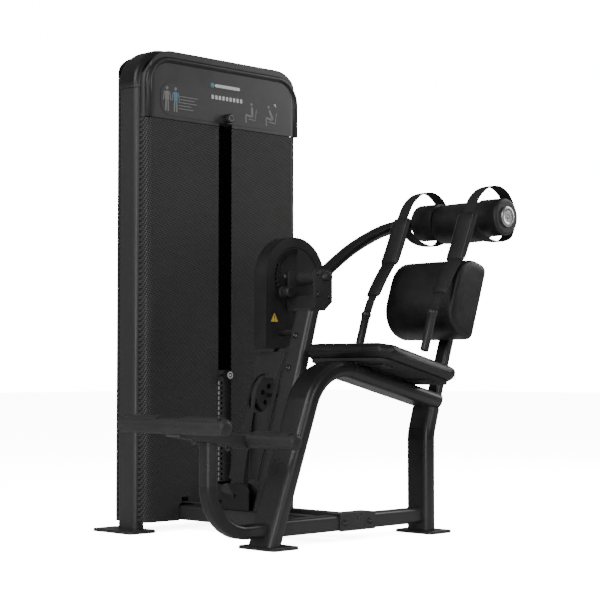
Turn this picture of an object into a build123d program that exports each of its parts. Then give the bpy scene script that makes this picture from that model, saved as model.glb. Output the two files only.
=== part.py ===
from build123d import *
import os
from math import atan2, cos, degrees, hypot, radians, sin, tan

# Selectorised abdominal crunch machine, all sizes in millimetres.
# +Z is up, +Y points from the seat to the weight tower, and the user on the seat faces -X.
# The origin is on the floor under the middle of the whole machine's box.

os.makedirs("parts", exist_ok=True)

# ---------------------------------------------------------------- driving dimensions
X0 = -282.5             # left face of the tower, the datum for every station along X
Y0 = 364.5              # front face of the tower's uprights, the datum for every station along Y
HEIGHT = 1630.0
TOWER_WIDTH = 735.0
WALL = 3.0              # wall of every steel tube
GAP = 0.3               # clearance between pieces that are bolted or welded side by side

# weight tower
UPRIGHT_WIDTH, UPRIGHT_DEPTH, UPRIGHT_RADIUS = 48.0, 98.0, 20.0
SEAM_Z = 1490.0         # where the bent top sleeves over the uprights
ARCH_WIDTH, ARCH_DEPTH, ARCH_RADIUS = 56.0, 106.0, 22.0
ARCH_BEND = 97.0
FOOT_THICKNESS = 10.0
SHROUD_PROUD = 38.0     # how far each shroud stands out from the uprights
SHROUD_EDGE = 12.0      # from the tower's side to the shroud's side
SHROUD_BOTTOM, SHROUD_TOP = 33.0, 1386.0
HEADER_BOTTOM, HEADER_TOP = 1388.0, 1621.0
SLOT_WIDTH, SLOT_BOTTOM, SLOT_TOP = 62.0, 145.0, 1436.0

# weight stack
STACK_WIDTH, STACK_DEPTH = 300.0, 100.0
STACK_Y = Y0 + 28.0
PLATE_COUNT, PLATE_PITCH, PLATE_THICKNESS = 20, 17.5, 17.2
STACK_BOTTOM = 153.25
HEAD_THICKNESS = 36.0
ROD_OFFSET, ROD_RADIUS = 110.0, 12.5
BELT_WIDTH, BELT_THICKNESS = 20.0, 3.0

# seat frame: flat-oval tube, bent once, standing on two foot plates
SEAT_Y = Y0 - 660.0
FRAME_WIDTH, FRAME_DEPTH, FRAME_RADIUS = 110.0, 52.0, 22.0
FRONT_BASE_X, KNEE_X, KNEE_Z, KNEE_BEND = X0 - 42.0, X0 + 174.0, 569.0, 160.0
BEAM_SLOPE = 13.5       # degrees, falling towards the back
REAR_X, REAR_BEND_Z = X0 + 684.0, 325.0
REAR_WIDTH, REAR_DEPTH, REAR_LEAN = 100.0, 48.0, 17.0
RAIL_Z, RAIL_HEIGHT, RAIL_WIDTH = 59.0, 50.0, 50.0

# foot rest
FOOT_POST_X, FOOT_POST_DEPTH, FOOT_POST_WIDTH, FOOT_POST_BEND = X0 - 266.0, 42.0, 50.0, 145.0
BAR_RADIUS, BAR_LENGTH = 23.5, 450.0
FRONT_BAR = (X0 - 400.0, 378.5)
REAR_BAR = (X0 - 125.0, 331.0)

# seat and back
SEAT_LENGTH, SEAT_WIDTH, SEAT_THICKNESS = 385.0, 390.0, 52.0
BACK_LEAN = 19.0
BACK_X, BACK_Z = X0 + 816.5, 765.0
BACK_WIDTH, BACK_DEPTH = 310.0, 143.0

# pivot: column, yoke, cam and cover
HUB_X, HUB_Z = X0 + 446.0, 850.0
COLUMN_LEAN = 16.96
COLUMN_FACE_X, COLUMN_FACE_Z = X0 + 343.0, 639.0    # a point of the column's front face
COLUMN_WIDTH, COLUMN_DEPTH = 80.0, 47.0
NEAR_Y = Y0 - 455.0     # near face of the column and the yoke
SHAFT_RADIUS, HUB_RADIUS = 14.95, 26.0
COVER_RADIUS = 140.0
COVER_NEAR_Y, COVER_FAR_Y = Y0 - 308.0, Y0 - 250.0
IDLER_X, IDLER_Z = X0 + 338.0, 455.0
BELT_Y = Y0 - 277.0     # plane of the cam, its belt and the idler
BELT_X = X0 + 187.0     # plane of the belt from the base pulley to the tower's top
BASE_PULLEY_Y, BASE_PULLEY_Z = Y0 - 300.0, 130.0
BOTTOM_PULLEY_Y = Y0 + 2.0
TOP_PULLEY_Z = 1526.0
# pitch radii, to the middle of the belt's thickness: with these the head lifts 100 mm per radian
CAM_PITCH, IDLER_PITCH, BASE_PITCH, TOWER_PITCH = 100.0, 55.0, 36.0, 30.0
PULLEY_WIDTH = 26.0

# arm and roll
ARM_Y, ARM_RADIUS = Y0 - 420.0, 21.0
ROLL_X, ROLL_Z, ROLL_RADIUS = X0 + 913.0, 1056.0, 63.5
ROLL_NEAR_Y, ROLL_FAR_Y = Y0 - 848.0, Y0 - 470.0
NECK_PAD_LENGTH, NECK_PAD_RADIUS = 190.0, 72.0
STRAP_OFFSET = 145.0    # each strap from the middle of the seat

MID_X = X0 + TOWER_WIDTH / 2
LEFT_X = X0 + UPRIGHT_WIDTH / 2
RIGHT_X = X0 + TOWER_WIDTH - UPRIGHT_WIDTH / 2
UPRIGHT_Y = Y0 + UPRIGHT_DEPTH / 2


def side(y):
    """The upright plane at y: x along X, y along Z, facing -Y."""
    return Plane.XZ.offset(-y)


def leaning(x, z, angle, y=SEAT_Y):
    """A side plane turned so that its y axis leans towards +X by angle degrees."""
    return Plane(origin=(x, y, z), x_dir=(cos(radians(angle)), 0, -sin(radians(angle))), z_dir=(0, -1, 0))


def across(x, z, angle, y=SEAT_Y):
    """The plane through (x, z) square to a line that leans towards +X by angle degrees."""
    return Plane(origin=(x, y, z), x_dir=(0, 1, 0), z_dir=(sin(radians(angle)), 0, cos(radians(angle))))


def tube_profile(width, depth, radius):
    """A rounded rectangular tube's section, drawn in the open sketch."""
    RectangleRounded(width, depth, radius)
    RectangleRounded(width - 2 * WALL, depth - 2 * WALL, radius - WALL, mode=Mode.SUBTRACT)


# ================================================================ weight tower
for name, x in (("left", LEFT_X), ("right", RIGHT_X)):
    with BuildPart() as upright:
        with BuildSketch(Plane.XY.offset(FOOT_THICKNESS)):
            with Locations((x, UPRIGHT_Y)):
                tube_profile(UPRIGHT_WIDTH, UPRIGHT_DEPTH, UPRIGHT_RADIUS)
        extrude(amount=SEAM_Z - FOOT_THICKNESS)
    upright.part.label = f"tower_upright_{name}"
    export_step(upright.part, f"parts/tower_upright_{name}.step")

with BuildPart() as tower_arch:
    arch_z = HEIGHT - ARCH_WIDTH / 2
    with BuildLine(side(UPRIGHT_Y)):
        FilletPolyline(
            (LEFT_X, SEAM_Z), (LEFT_X, arch_z), (RIGHT_X, arch_z), (RIGHT_X, SEAM_Z), radius=ARCH_BEND
        )
    with BuildSketch(Plane.XY.offset(SEAM_Z)):
        with Locations((LEFT_X, UPRIGHT_Y)):
            tube_profile(ARCH_WIDTH, ARCH_DEPTH, ARCH_RADIUS)
    sweep()
tower_arch.part.label = "tower_arch"
export_step(tower_arch.part, "parts/tower_arch.step")

FOOT_WIDTH, FOOT_LENGTH, FOOT_OUTSET = 113.0, 208.0, 27.5
ANCHOR_RADIUS, ANCHOR_SPACING = 6.0, 150.0
ANCHOR_X = TOWER_WIDTH / 2 + 38.0   # anchor holes from the middle of the tower
with BuildPart() as tower_feet:
    with BuildSketch():
        for sign in (-1, 1):
            with Locations((MID_X + sign * (TOWER_WIDTH / 2 - UPRIGHT_WIDTH / 2 + FOOT_OUTSET), UPRIGHT_Y + 3)):
                RectangleRounded(FOOT_WIDTH, FOOT_LENGTH, 16)
            for end in (-1, 1):
                with Locations((MID_X + sign * ANCHOR_X, UPRIGHT_Y + 3 + end * ANCHOR_SPACING / 2)):
                    Circle(ANCHOR_RADIUS, mode=Mode.SUBTRACT)
    extrude(amount=FOOT_THICKNESS)
    top_rims = tower_feet.edges().group_by(Axis.Z)[-1].filter_by(GeomType.LINE)
    chamfer(top_rims, 1.5)
tower_feet.part.label = "tower_feet"
export_step(tower_feet.part, "parts/tower_feet.step")

CROSSBAR_LENGTH = TOWER_WIDTH - 2 * UPRIGHT_WIDTH - 2 * GAP
LOWER_BAR_BOTTOM, LOWER_BAR_TOP = 40.0, 84.0
UPPER_BAR_BOTTOM, UPPER_BAR_TOP = 1440.0, 1480.0
BUMPER_HEIGHT, RISER_TOP = 25.0, 128.0
AXLE_RADIUS, AXLE_CLEARANCE = 6.0, 0.05
BELT_FLOOR_Z = BASE_PULLEY_Z - BASE_PITCH
BOTTOM_PULLEY_Z = BELT_FLOOR_Z + TOWER_PITCH
with BuildPart() as tower_crossbar_lower:
    with BuildSketch(Plane.XY.offset(LOWER_BAR_BOTTOM)):
        with Locations((MID_X, STACK_Y)):
            Rectangle(CROSSBAR_LENGTH, 40)
    extrude(amount=LOWER_BAR_TOP - LOWER_BAR_BOTTOM)
    with BuildSketch(Plane.XY.offset(LOWER_BAR_TOP)):
        with Locations((MID_X - ROD_OFFSET, STACK_Y), (MID_X + ROD_OFFSET, STACK_Y)):
            RectangleRounded(60, 56, 6)
    extrude(amount=RISER_TOP - LOWER_BAR_TOP)
    for cheek_x in (BELT_X - 19, BELT_X + 15):
        with BuildSketch(Plane.YZ.offset(cheek_x)):
            with BuildLine():
                Polyline(
                    (Y0 + 10, LOWER_BAR_TOP), (Y0 + 46, LOWER_BAR_TOP), (BOTTOM_PULLEY_Y + 8, BOTTOM_PULLEY_Z + 8),
                    (BOTTOM_PULLEY_Y - 10, BOTTOM_PULLEY_Z), close=True,
                )
            make_face()
            with Locations((BOTTOM_PULLEY_Y, BOTTOM_PULLEY_Z)):
                Circle(11)
        extrude(amount=4)
    with BuildSketch(Plane.YZ.offset(BELT_X - 17)):
        with Locations((BOTTOM_PULLEY_Y, BOTTOM_PULLEY_Z)):
            Circle(AXLE_RADIUS)
    extrude(amount=34)
tower_crossbar_lower.part.label = "tower_crossbar_lower"
export_step(tower_crossbar_lower.part, "parts/tower_crossbar_lower.step")

TOP_PULLEY_XS = (BELT_X + TOWER_PITCH, MID_X - TOWER_PITCH)
with BuildPart() as tower_crossbar_upper:
    with BuildSketch(Plane.XY.offset(UPPER_BAR_BOTTOM)):
        with Locations((MID_X, STACK_Y)):
            Rectangle(CROSSBAR_LENGTH, 40)
        with Locations((MID_X - ROD_OFFSET, STACK_Y), (MID_X + ROD_OFFSET, STACK_Y)):
            Circle(ROD_RADIUS + GAP, mode=Mode.SUBTRACT)
        with Locations((BELT_X, STACK_Y), (MID_X, STACK_Y)):
            Rectangle(16, 30, mode=Mode.SUBTRACT)
    extrude(amount=UPPER_BAR_TOP - UPPER_BAR_BOTTOM)
    for pulley_x in TOP_PULLEY_XS:
        with BuildSketch(side(STACK_Y)):
            with Locations((pulley_x, (UPPER_BAR_TOP + TOP_PULLEY_Z + 12) / 2)):
                Rectangle(26, TOP_PULLEY_Z + 12 - UPPER_BAR_TOP)
        extrude(amount=20, both=True)
        with BuildSketch(side(STACK_Y)):
            with Locations((pulley_x, TOP_PULLEY_Z + 10)):
                Rectangle(80, 2 * (TOP_PULLEY_Z + 10 - UPPER_BAR_TOP))
        extrude(amount=15, both=True, mode=Mode.SUBTRACT)
        with BuildSketch(side(STACK_Y)):
            with Locations((pulley_x, TOP_PULLEY_Z)):
                Circle(AXLE_RADIUS)
        extrude(amount=18, both=True)
tower_crossbar_upper.part.label = "tower_crossbar_upper"
export_step(tower_crossbar_upper.part, "parts/tower_crossbar_upper.step")


def pulley(name, center, axis_direction, pitch, lightening=0):
    """A flanged flat-belt pulley, turned about its axle and exported."""
    surface = pitch - BELT_THICKNESS / 2 - GAP
    flange = pitch + 4.0
    groove = BELT_WIDTH / 2 + 0.5
    radial = (0, 0, 1)
    bore = AXLE_RADIUS + AXLE_CLEARANCE
    normal = Vector(*radial).cross(Vector(*axis_direction))
    with BuildPart() as wheel:
        with BuildSketch(Plane(origin=center, x_dir=radial, z_dir=normal)):
            with BuildLine():
                Polyline(
                    (bore, -PULLEY_WIDTH / 2), (flange, -PULLEY_WIDTH / 2), (flange, -groove), (surface, -groove),
                    (surface, groove), (flange, groove), (flange, PULLEY_WIDTH / 2), (bore, PULLEY_WIDTH / 2),
                    close=True,
                )
            make_face()
        revolve(axis=Axis(center, axis_direction))
        if lightening:
            with BuildSketch(Plane(origin=center, x_dir=radial, z_dir=axis_direction)):
                with PolarLocations((surface + bore) / 2, 5):
                    Circle(lightening)
            extrude(amount=PULLEY_WIDTH, both=True, mode=Mode.SUBTRACT)
    wheel.part.label = name
    export_step(wheel.part, f"parts/{name}.step")


pulley("top_pulley_left", (TOP_PULLEY_XS[0], STACK_Y, TOP_PULLEY_Z), (0, 1, 0), TOWER_PITCH)
pulley("top_pulley_right", (TOP_PULLEY_XS[1], STACK_Y, TOP_PULLEY_Z), (0, 1, 0), TOWER_PITCH)
pulley("bottom_pulley", (BELT_X, BOTTOM_PULLEY_Y, BOTTOM_PULLEY_Z), (1, 0, 0), TOWER_PITCH)
pulley("base_pulley", (BELT_X, BASE_PULLEY_Y, BASE_PULLEY_Z), (1, 0, 0), BASE_PITCH)
pulley("idler_pulley", (IDLER_X, BELT_Y, IDLER_Z), (0, 1, 0), IDLER_PITCH, lightening=9)


def shroud_outline(depth, thickness):
    """A shroud's section from above: a front wall with rounded corners and two short sides."""
    width = TOWER_WIDTH - 2 * SHROUD_EDGE
    corner = 32.0
    with Locations((MID_X, 0)):
        RectangleRounded(width, 2 * depth, corner)
        RectangleRounded(width - 2 * thickness, 2 * depth - 2 * thickness, corner - thickness, mode=Mode.SUBTRACT)
        with Locations((0, depth)):
            Rectangle(width + 1, 2 * depth, mode=Mode.SUBTRACT)


RAIL_NOTCHES = ((X0 + 195.0, 66.0), (X0 + 345.0, 66.0))   # where the two cross beams run in
with BuildPart() as front_shroud:
    with BuildSketch(Plane(origin=(0, Y0 - GAP, SHROUD_BOTTOM))):
        shroud_outline(SHROUD_PROUD - GAP, 3.0)
    extrude(amount=SHROUD_TOP - SHROUD_BOTTOM)
    with BuildSketch(side(Y0)):
        with Locations((MID_X, (SLOT_BOTTOM + SHROUD_TOP) / 2 + 10)):
            RectangleRounded(SLOT_WIDTH, SHROUD_TOP - SLOT_BOTTOM + 20, 10)
        for notch_x, notch_width in RAIL_NOTCHES:
            with Locations((notch_x, RAIL_Z)):
                Rectangle(notch_width, 62)
        with Locations((BELT_X, 96)):
            Rectangle(30, 30)
    extrude(amount=SHROUD_PROUD + 5, mode=Mode.SUBTRACT)
front_shroud.part.label = "front_shroud"
export_step(front_shroud.part, "parts/front_shroud.step")

HEADER_CORNER = 108.0
header_inner_y = Y0 - 5.0   # clears the arch, which stands 4 mm out from the uprights
with BuildPart() as front_header:
    with BuildSketch(Plane(origin=(0, header_inner_y, HEADER_BOTTOM))):
        shroud_outline(SHROUD_PROUD - 5.0 + 1.5, 3.0)
    extrude(amount=HEADER_TOP - HEADER_BOTTOM)
    with BuildSketch(side(Y0)):
        with Locations((MID_X, HEADER_TOP - 400)):
            RectangleRounded(TOWER_WIDTH - 2 * SHROUD_EDGE, 800, HEADER_CORNER)
    extrude(amount=60, both=True, mode=Mode.INTERSECT)
    with BuildSketch(side(Y0)):
        with Locations((MID_X, SLOT_TOP - SLOT_WIDTH / 2 - 60)):
            Rectangle(SLOT_WIDTH, 120)
        with Locations((MID_X, SLOT_TOP - SLOT_WIDTH / 2)):
            Circle(SLOT_WIDTH / 2)
    extrude(amount=60, mode=Mode.SUBTRACT)
front_header.part.label = "front_header"
export_step(front_header.part, "parts/front_header.step")

with BuildPart() as rear_shroud:
    with BuildSketch(Plane(origin=(0, Y0 + UPRIGHT_DEPTH + 5, SHROUD_BOTTOM), x_dir=(-1, 0, 0), z_dir=(0, 0, 1))):
        with Locations((-2 * MID_X, 0)):
            shroud_outline(SHROUD_PROUD - 5.0, 3.0)
    extrude(amount=HEADER_TOP - SHROUD_BOTTOM)
    with BuildSketch(side(Y0 + UPRIGHT_DEPTH)):
        with Locations((MID_X, HEADER_TOP - 1000)):
            RectangleRounded(TOWER_WIDTH - 2 * SHROUD_EDGE, 2000, HEADER_CORNER)
    extrude(amount=60, both=True, mode=Mode.INTERSECT)
rear_shroud.part.label = "rear_shroud"
export_step(rear_shroud.part, "parts/rear_shroud.step")

# ================================================================ weight stack
ROD_XS = (MID_X - ROD_OFFSET, MID_X + ROD_OFFSET)
with BuildPart() as guide_rods:
    with BuildSketch(Plane.XY.offset(RISER_TOP)):
        with Locations(*[(rod_x, STACK_Y) for rod_x in ROD_XS]):
            Circle(ROD_RADIUS)
    extrude(amount=UPPER_BAR_TOP + 6 - RISER_TOP)
    chamfer(guide_rods.edges().group_by(Axis.Z)[-1], 1)
guide_rods.part.label = "guide_rods"
export_step(guide_rods.part, "parts/guide_rods.step")

with BuildPart() as stack_bumpers:
    with BuildSketch(Plane.XY.offset(RISER_TOP)):
        with Locations(*[(rod_x, STACK_Y) for rod_x in ROD_XS]):
            Circle(25)
            Circle(ROD_RADIUS + GAP, mode=Mode.SUBTRACT)
    extrude(amount=BUMPER_HEIGHT)
stack_bumpers.part.label = "stack_bumpers"
export_step(stack_bumpers.part, "parts/stack_bumpers.step")

STEM_RADIUS, PIN_RADIUS = 10.0, 4.5
with BuildPart() as weight_plates:
    for index in range(PLATE_COUNT):
        plate_z = STACK_BOTTOM + index * PLATE_PITCH
        with BuildSketch(Plane.XY.offset(plate_z)):
            with Locations((MID_X, STACK_Y)):
                RectangleRounded(STACK_WIDTH, STACK_DEPTH, 4)
                Circle(STEM_RADIUS + 2, mode=Mode.SUBTRACT)
            with Locations(*[(rod_x, STACK_Y) for rod_x in ROD_XS]):
                Circle(ROD_RADIUS + 1, mode=Mode.SUBTRACT)
        extrude(amount=PLATE_THICKNESS)
        with BuildSketch(side(STACK_Y)):
            with Locations((MID_X, plate_z + PLATE_THICKNESS / 2)):
                Circle(PIN_RADIUS + 0.75)
        extrude(amount=STACK_DEPTH, mode=Mode.SUBTRACT)
weight_plates.part.label = "weight_plates"
export_step(weight_plates.part, "parts/weight_plates.step")

HEAD_BOTTOM = STACK_BOTTOM + PLATE_COUNT * PLATE_PITCH
HEAD_TOP = HEAD_BOTTOM + HEAD_THICKNESS
PIN_Z = HEAD_BOTTOM + HEAD_THICKNESS / 2
with BuildPart() as head_plate:
    with BuildSketch(Plane.XY.offset(HEAD_BOTTOM)):
        with Locations((MID_X, STACK_Y)):
            RectangleRounded(STACK_WIDTH, STACK_DEPTH, 4)
            Circle(STEM_RADIUS, mode=Mode.SUBTRACT)
        with Locations(*[(rod_x, STACK_Y) for rod_x in ROD_XS]):
            Circle(ROD_RADIUS + 1, mode=Mode.SUBTRACT)
    extrude(amount=HEAD_THICKNESS)
    with BuildSketch(side(STACK_Y + 13)):
        with Locations((MID_X, PIN_Z)):
            Circle(PIN_RADIUS + 0.05)
    extrude(amount=STACK_DEPTH, mode=Mode.SUBTRACT)
head_plate.part.label = "head_plate"
export_step(head_plate.part, "parts/head_plate.step")

with BuildPart() as selector_stem:
    with BuildSketch(Plane.XY.offset(STACK_BOTTOM + 2)):
        with Locations((MID_X, STACK_Y)):
            Circle(STEM_RADIUS)
    extrude(amount=HEAD_TOP + 14 - STACK_BOTTOM - 2)
    for index in range(PLATE_COUNT):
        with BuildSketch(side(STACK_Y)):
            with Locations((MID_X, STACK_BOTTOM + index * PLATE_PITCH + PLATE_THICKNESS / 2)):
                Circle(PIN_RADIUS + 0.75)
        extrude(amount=STEM_RADIUS + 1, both=True, mode=Mode.SUBTRACT)
    with BuildSketch(side(STACK_Y)):
        with Locations((MID_X, PIN_Z)):
            Circle(PIN_RADIUS + 0.05)
    extrude(amount=STEM_RADIUS + 1, both=True, mode=Mode.SUBTRACT)
selector_stem.part.label = "selector_stem"
export_step(selector_stem.part, "parts/selector_stem.step")

BELT_STUB_TOP = 1385.0
with BuildPart() as head_belt:
    with BuildSketch(Plane.XY.offset(HEAD_TOP + 14)):
        with Locations((MID_X, STACK_Y)):
            Rectangle(24, 24)
    extrude(amount=40)
    chamfer(head_belt.edges().filter_by(Axis.Z), 3)
    with BuildSketch(Plane.XY.offset(HEAD_TOP + 54)):
        with Locations((MID_X, STACK_Y)):
            Rectangle(BELT_THICKNESS, BELT_WIDTH)
    extrude(amount=BELT_STUB_TOP - HEAD_TOP - 54)
head_belt.part.label = "head_belt"
export_step(head_belt.part, "parts/head_belt.step")

PIN_KNOB_RADIUS, PIN_KNOB_FRONT = 14.0, Y0 - 66.0
with BuildPart() as selector_pin:
    with BuildSketch(side(PIN_KNOB_FRONT + 24)):
        with Locations((MID_X, PIN_Z)):
            Circle(PIN_KNOB_RADIUS)
    extrude(amount=24)
    chamfer(selector_pin.edges().group_by(Axis.Y)[0], 2.5)
    with BuildSketch(side(STACK_Y + 12)):
        with Locations((MID_X, PIN_Z)):
            Circle(PIN_RADIUS)
    extrude(amount=STACK_Y + 12 - PIN_KNOB_FRONT - 20)
selector_pin.part.label = "selector_pin"
export_step(selector_pin.part, "parts/selector_pin.step")

ADDON_BOTTOM, ADDON_TOP = 1398.0, 1430.0
ADDON_KNOB_Z = 1416.0
with BuildPart() as addon_weight:
    with BuildSketch(Plane.XY.offset(ADDON_BOTTOM)):
        with Locations((MID_X, STACK_Y)):
            RectangleRounded(STACK_WIDTH - 20, STACK_DEPTH - 20, 6)
            Rectangle(16, 30, mode=Mode.SUBTRACT)
        with Locations(*[(rod_x, STACK_Y) for rod_x in ROD_XS]):
            Circle(ROD_RADIUS + 1, mode=Mode.SUBTRACT)
    extrude(amount=ADDON_TOP - ADDON_BOTTOM)
    with BuildSketch(side(STACK_Y - 18)):
        with Locations((MID_X, ADDON_KNOB_Z)):
            Circle(PIN_RADIUS + 0.05)
    extrude(amount=40, mode=Mode.SUBTRACT)
addon_weight.part.label = "addon_weight"
export_step(addon_weight.part, "parts/addon_weight.step")

with BuildPart() as addon_knob:
    with BuildSketch(side(Y0 - 34)):
        with Locations((MID_X, ADDON_KNOB_Z)):
            Circle(16)
    extrude(amount=36)
    chamfer(addon_knob.edges().group_by(Axis.Y)[0], 3)
    with BuildSketch(side(STACK_Y - 19)):
        with Locations((MID_X, ADDON_KNOB_Z)):
            Circle(PIN_RADIUS)
    extrude(amount=STACK_Y - 19 - Y0 + 40)
addon_knob.part.label = "addon_knob"
export_step(addon_knob.part, "parts/addon_knob.step")

# ================================================================ seat frame
FRONT_LEAN = degrees(atan2(KNEE_X - FRONT_BASE_X, KNEE_Z))


def beam_point(x, offset):
    """A point offset square to the sloping beam's centreline at station x."""
    z = KNEE_Z - (x - KNEE_X) * tan(radians(BEAM_SLOPE))
    return (x + offset * sin(radians(BEAM_SLOPE)), z + offset * cos(radians(BEAM_SLOPE)))


post_plane = leaning(BACK_X, BACK_Z, BACK_LEAN)
POST_WIDTH, POST_DEPTH, POST_FRONT = 50.0, 30.0, 27.0
POST_BOTTOM, POST_TOP = -372.0, 40.0
with BuildPart() as seat_frame:
    with BuildLine(side(SEAT_Y)) as frame_path:
        FilletPolyline(
            (FRONT_BASE_X - 20 * tan(radians(FRONT_LEAN)), -20), (KNEE_X, KNEE_Z),
            beam_point(X0 + 800, 0), radius=KNEE_BEND,
        )
    with BuildSketch(Plane(origin=frame_path.line @ 0, x_dir=(0, 1, 0), z_dir=frame_path.line % 0)):
        tube_profile(FRAME_WIDTH, FRAME_DEPTH, FRAME_RADIUS)
    sweep()
    split(bisect_by=Plane.XY.offset(FOOT_THICKNESS + GAP), keep=Keep.TOP)
    post_face = post_plane.from_local_coords((POST_FRONT - GAP, 0, 0))
    split(bisect_by=Plane(origin=post_face, x_dir=(0, 1, 0), z_dir=post_plane.x_dir), keep=Keep.BOTTOM)
seat_frame.part.label = "seat_frame"
export_step(seat_frame.part, "parts/seat_frame.step")

with BuildPart() as rear_column:
    with BuildLine(side(SEAT_Y)) as rear_path:
        FilletPolyline(
            (REAR_X, 0), (REAR_X, REAR_BEND_Z),
            (REAR_X + 200 * tan(radians(REAR_LEAN)), REAR_BEND_Z + 200), radius=120,
        )
    with BuildSketch(Plane(origin=rear_path.line @ 0, x_dir=(0, 1, 0), z_dir=rear_path.line % 0)):
        tube_profile(REAR_WIDTH, REAR_DEPTH, FRAME_RADIUS)
    sweep()
    split(bisect_by=Plane.XY.offset(FOOT_THICKNESS + GAP), keep=Keep.TOP)
    under_x, under_z = beam_point(REAR_X, -FRAME_DEPTH / 2 - GAP)
    split(bisect_by=across(under_x, under_z, BEAM_SLOPE), keep=Keep.BOTTOM)
    with BuildSketch(post_plane):
        with Locations((POST_FRONT + POST_DEPTH / 2, (POST_BOTTOM + POST_TOP) / 2)):
            Rectangle(POST_DEPTH + 2 * GAP, POST_TOP - POST_BOTTOM + 10)
    extrude(amount=POST_WIDTH / 2 + GAP, both=True, mode=Mode.SUBTRACT)
rear_column.part.label = "rear_column"
export_step(rear_column.part, "parts/rear_column.step")

with BuildPart() as seat_feet:
    with BuildSketch():
        with Locations((X0 - 21, SEAT_Y), (X0 + 695, SEAT_Y)):
            RectangleRounded(112, 158, 12)
    extrude(amount=FOOT_THICKNESS)
    seat_rims = seat_feet.edges().group_by(Axis.Z)[-1].filter_by(GeomType.LINE)
    chamfer(seat_rims, 1.5)
seat_feet.part.label = "seat_feet"
export_step(seat_feet.part, "parts/seat_feet.step")

column_front_x = FRONT_BASE_X + RAIL_Z * tan(radians(FRONT_LEAN))
half_depth = FRAME_DEPTH / 2 + GAP
front_normal = (cos(radians(FRONT_LEAN)), 0, -sin(radians(FRONT_LEAN)))
with BuildPart() as floor_beam:
    with BuildSketch(Plane.YZ.offset(column_front_x)):
        with Locations((SEAT_Y, RAIL_Z)):
            tube_profile(RAIL_WIDTH, RAIL_HEIGHT, 12)
    extrude(amount=REAR_X - REAR_DEPTH / 2 - GAP - column_front_x)
    back_of_front = (column_front_x + half_depth / cos(radians(FRONT_LEAN)), SEAT_Y, RAIL_Z)
    split(bisect_by=Plane(origin=back_of_front, x_dir=(0, 1, 0), z_dir=front_normal), keep=Keep.TOP)
floor_beam.part.label = "floor_beam"
export_step(floor_beam.part, "parts/floor_beam.step")

CROSS_BEAM_Y = (SEAT_Y + RAIL_WIDTH / 2 + GAP, STACK_Y - 20 - GAP)
CROSS_BEAMS = (("cross_beam_foot", X0 + 195.0), ("cross_beam_main", X0 + 345.0))
for name, beam_x in CROSS_BEAMS:
    with BuildPart() as cross_beam:
        with BuildSketch(Plane.XZ.offset(-CROSS_BEAM_Y[1])):
            with Locations((beam_x, RAIL_Z)):
                tube_profile(60, RAIL_HEIGHT, 12)
        extrude(amount=CROSS_BEAM_Y[1] - CROSS_BEAM_Y[0])
    cross_beam.part.label = name
    export_step(cross_beam.part, f"parts/{name}.step")

COUPLER_X = (X0 + 262.0, X0 + 425.0)
coupler_top = RAIL_Z + RAIL_HEIGHT / 2 + GAP
with BuildPart() as coupler_plate:
    near_face = SEAT_Y - RAIL_WIDTH / 2 - GAP
    with BuildSketch(Plane.YZ.offset(COUPLER_X[0])):
        with BuildLine():
            Polyline(
                (SEAT_Y + 34, coupler_top), (near_face, coupler_top), (near_face, RAIL_Z - 26),
                (near_face - 4, RAIL_Z - 26), (near_face - 4, coupler_top + 4), (SEAT_Y + 34, coupler_top + 4),
                close=True,
            )
        make_face()
    extrude(amount=COUPLER_X[1] - COUPLER_X[0])
coupler_plate.part.label = "coupler_plate"
export_step(coupler_plate.part, "parts/coupler_plate.step")

# ================================================================ foot rest
bracket_angle = degrees(atan2(FRONT_BAR[1] - REAR_BAR[1], REAR_BAR[0] - FRONT_BAR[0]))
bracket_mid = ((FRONT_BAR[0] + REAR_BAR[0]) / 2, (FRONT_BAR[1] + REAR_BAR[1]) / 2)
bracket_length = hypot(REAR_BAR[0] - FRONT_BAR[0], REAR_BAR[1] - FRONT_BAR[1])
BRACKET_WIDTH, BRACKET_THICKNESS, BRACKET_DROP = 62.0, 38.0, 11.0
with BuildPart() as footrest_bracket:
    with BuildSketch(leaning(bracket_mid[0], bracket_mid[1], bracket_angle)):
        with Locations((0, -BRACKET_DROP)):
            RectangleRounded(bracket_length, BRACKET_THICKNESS, 8)
    extrude(amount=BRACKET_WIDTH / 2, both=True)
    with BuildSketch(side(SEAT_Y)):
        with Locations(FRONT_BAR, REAR_BAR):
            Circle(BAR_RADIUS + GAP)
    extrude(amount=BRACKET_WIDTH, both=True, mode=Mode.SUBTRACT)
footrest_bracket.part.label = "footrest_bracket"
export_step(footrest_bracket.part, "parts/footrest_bracket.step")

with BuildPart() as foot_post:
    with BuildLine(side(SEAT_Y)) as foot_path:
        FilletPolyline(
            (FOOT_POST_X, bracket_mid[1] + 20), (FOOT_POST_X, RAIL_Z - 2), (column_front_x, RAIL_Z - 2),
            radius=FOOT_POST_BEND,
        )
    with BuildSketch(Plane(origin=foot_path.line @ 0, x_dir=(0, 1, 0), z_dir=foot_path.line % 0)):
        tube_profile(FOOT_POST_WIDTH, FOOT_POST_DEPTH, 14)
    sweep()
    seat_x = bracket_mid[0] - (BRACKET_DROP + BRACKET_THICKNESS / 2 + GAP) * sin(radians(bracket_angle))
    seat_z = bracket_mid[1] - (BRACKET_DROP + BRACKET_THICKNESS / 2 + GAP) * cos(radians(bracket_angle))
    split(bisect_by=across(seat_x, seat_z, bracket_angle), keep=Keep.BOTTOM)
    front_of_front = (column_front_x - half_depth / cos(radians(FRONT_LEAN)), SEAT_Y, RAIL_Z)
    split(bisect_by=Plane(origin=front_of_front, x_dir=(0, 1, 0), z_dir=front_normal), keep=Keep.BOTTOM)
foot_post.part.label = "foot_post"
export_step(foot_post.part, "parts/foot_post.step")

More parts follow.
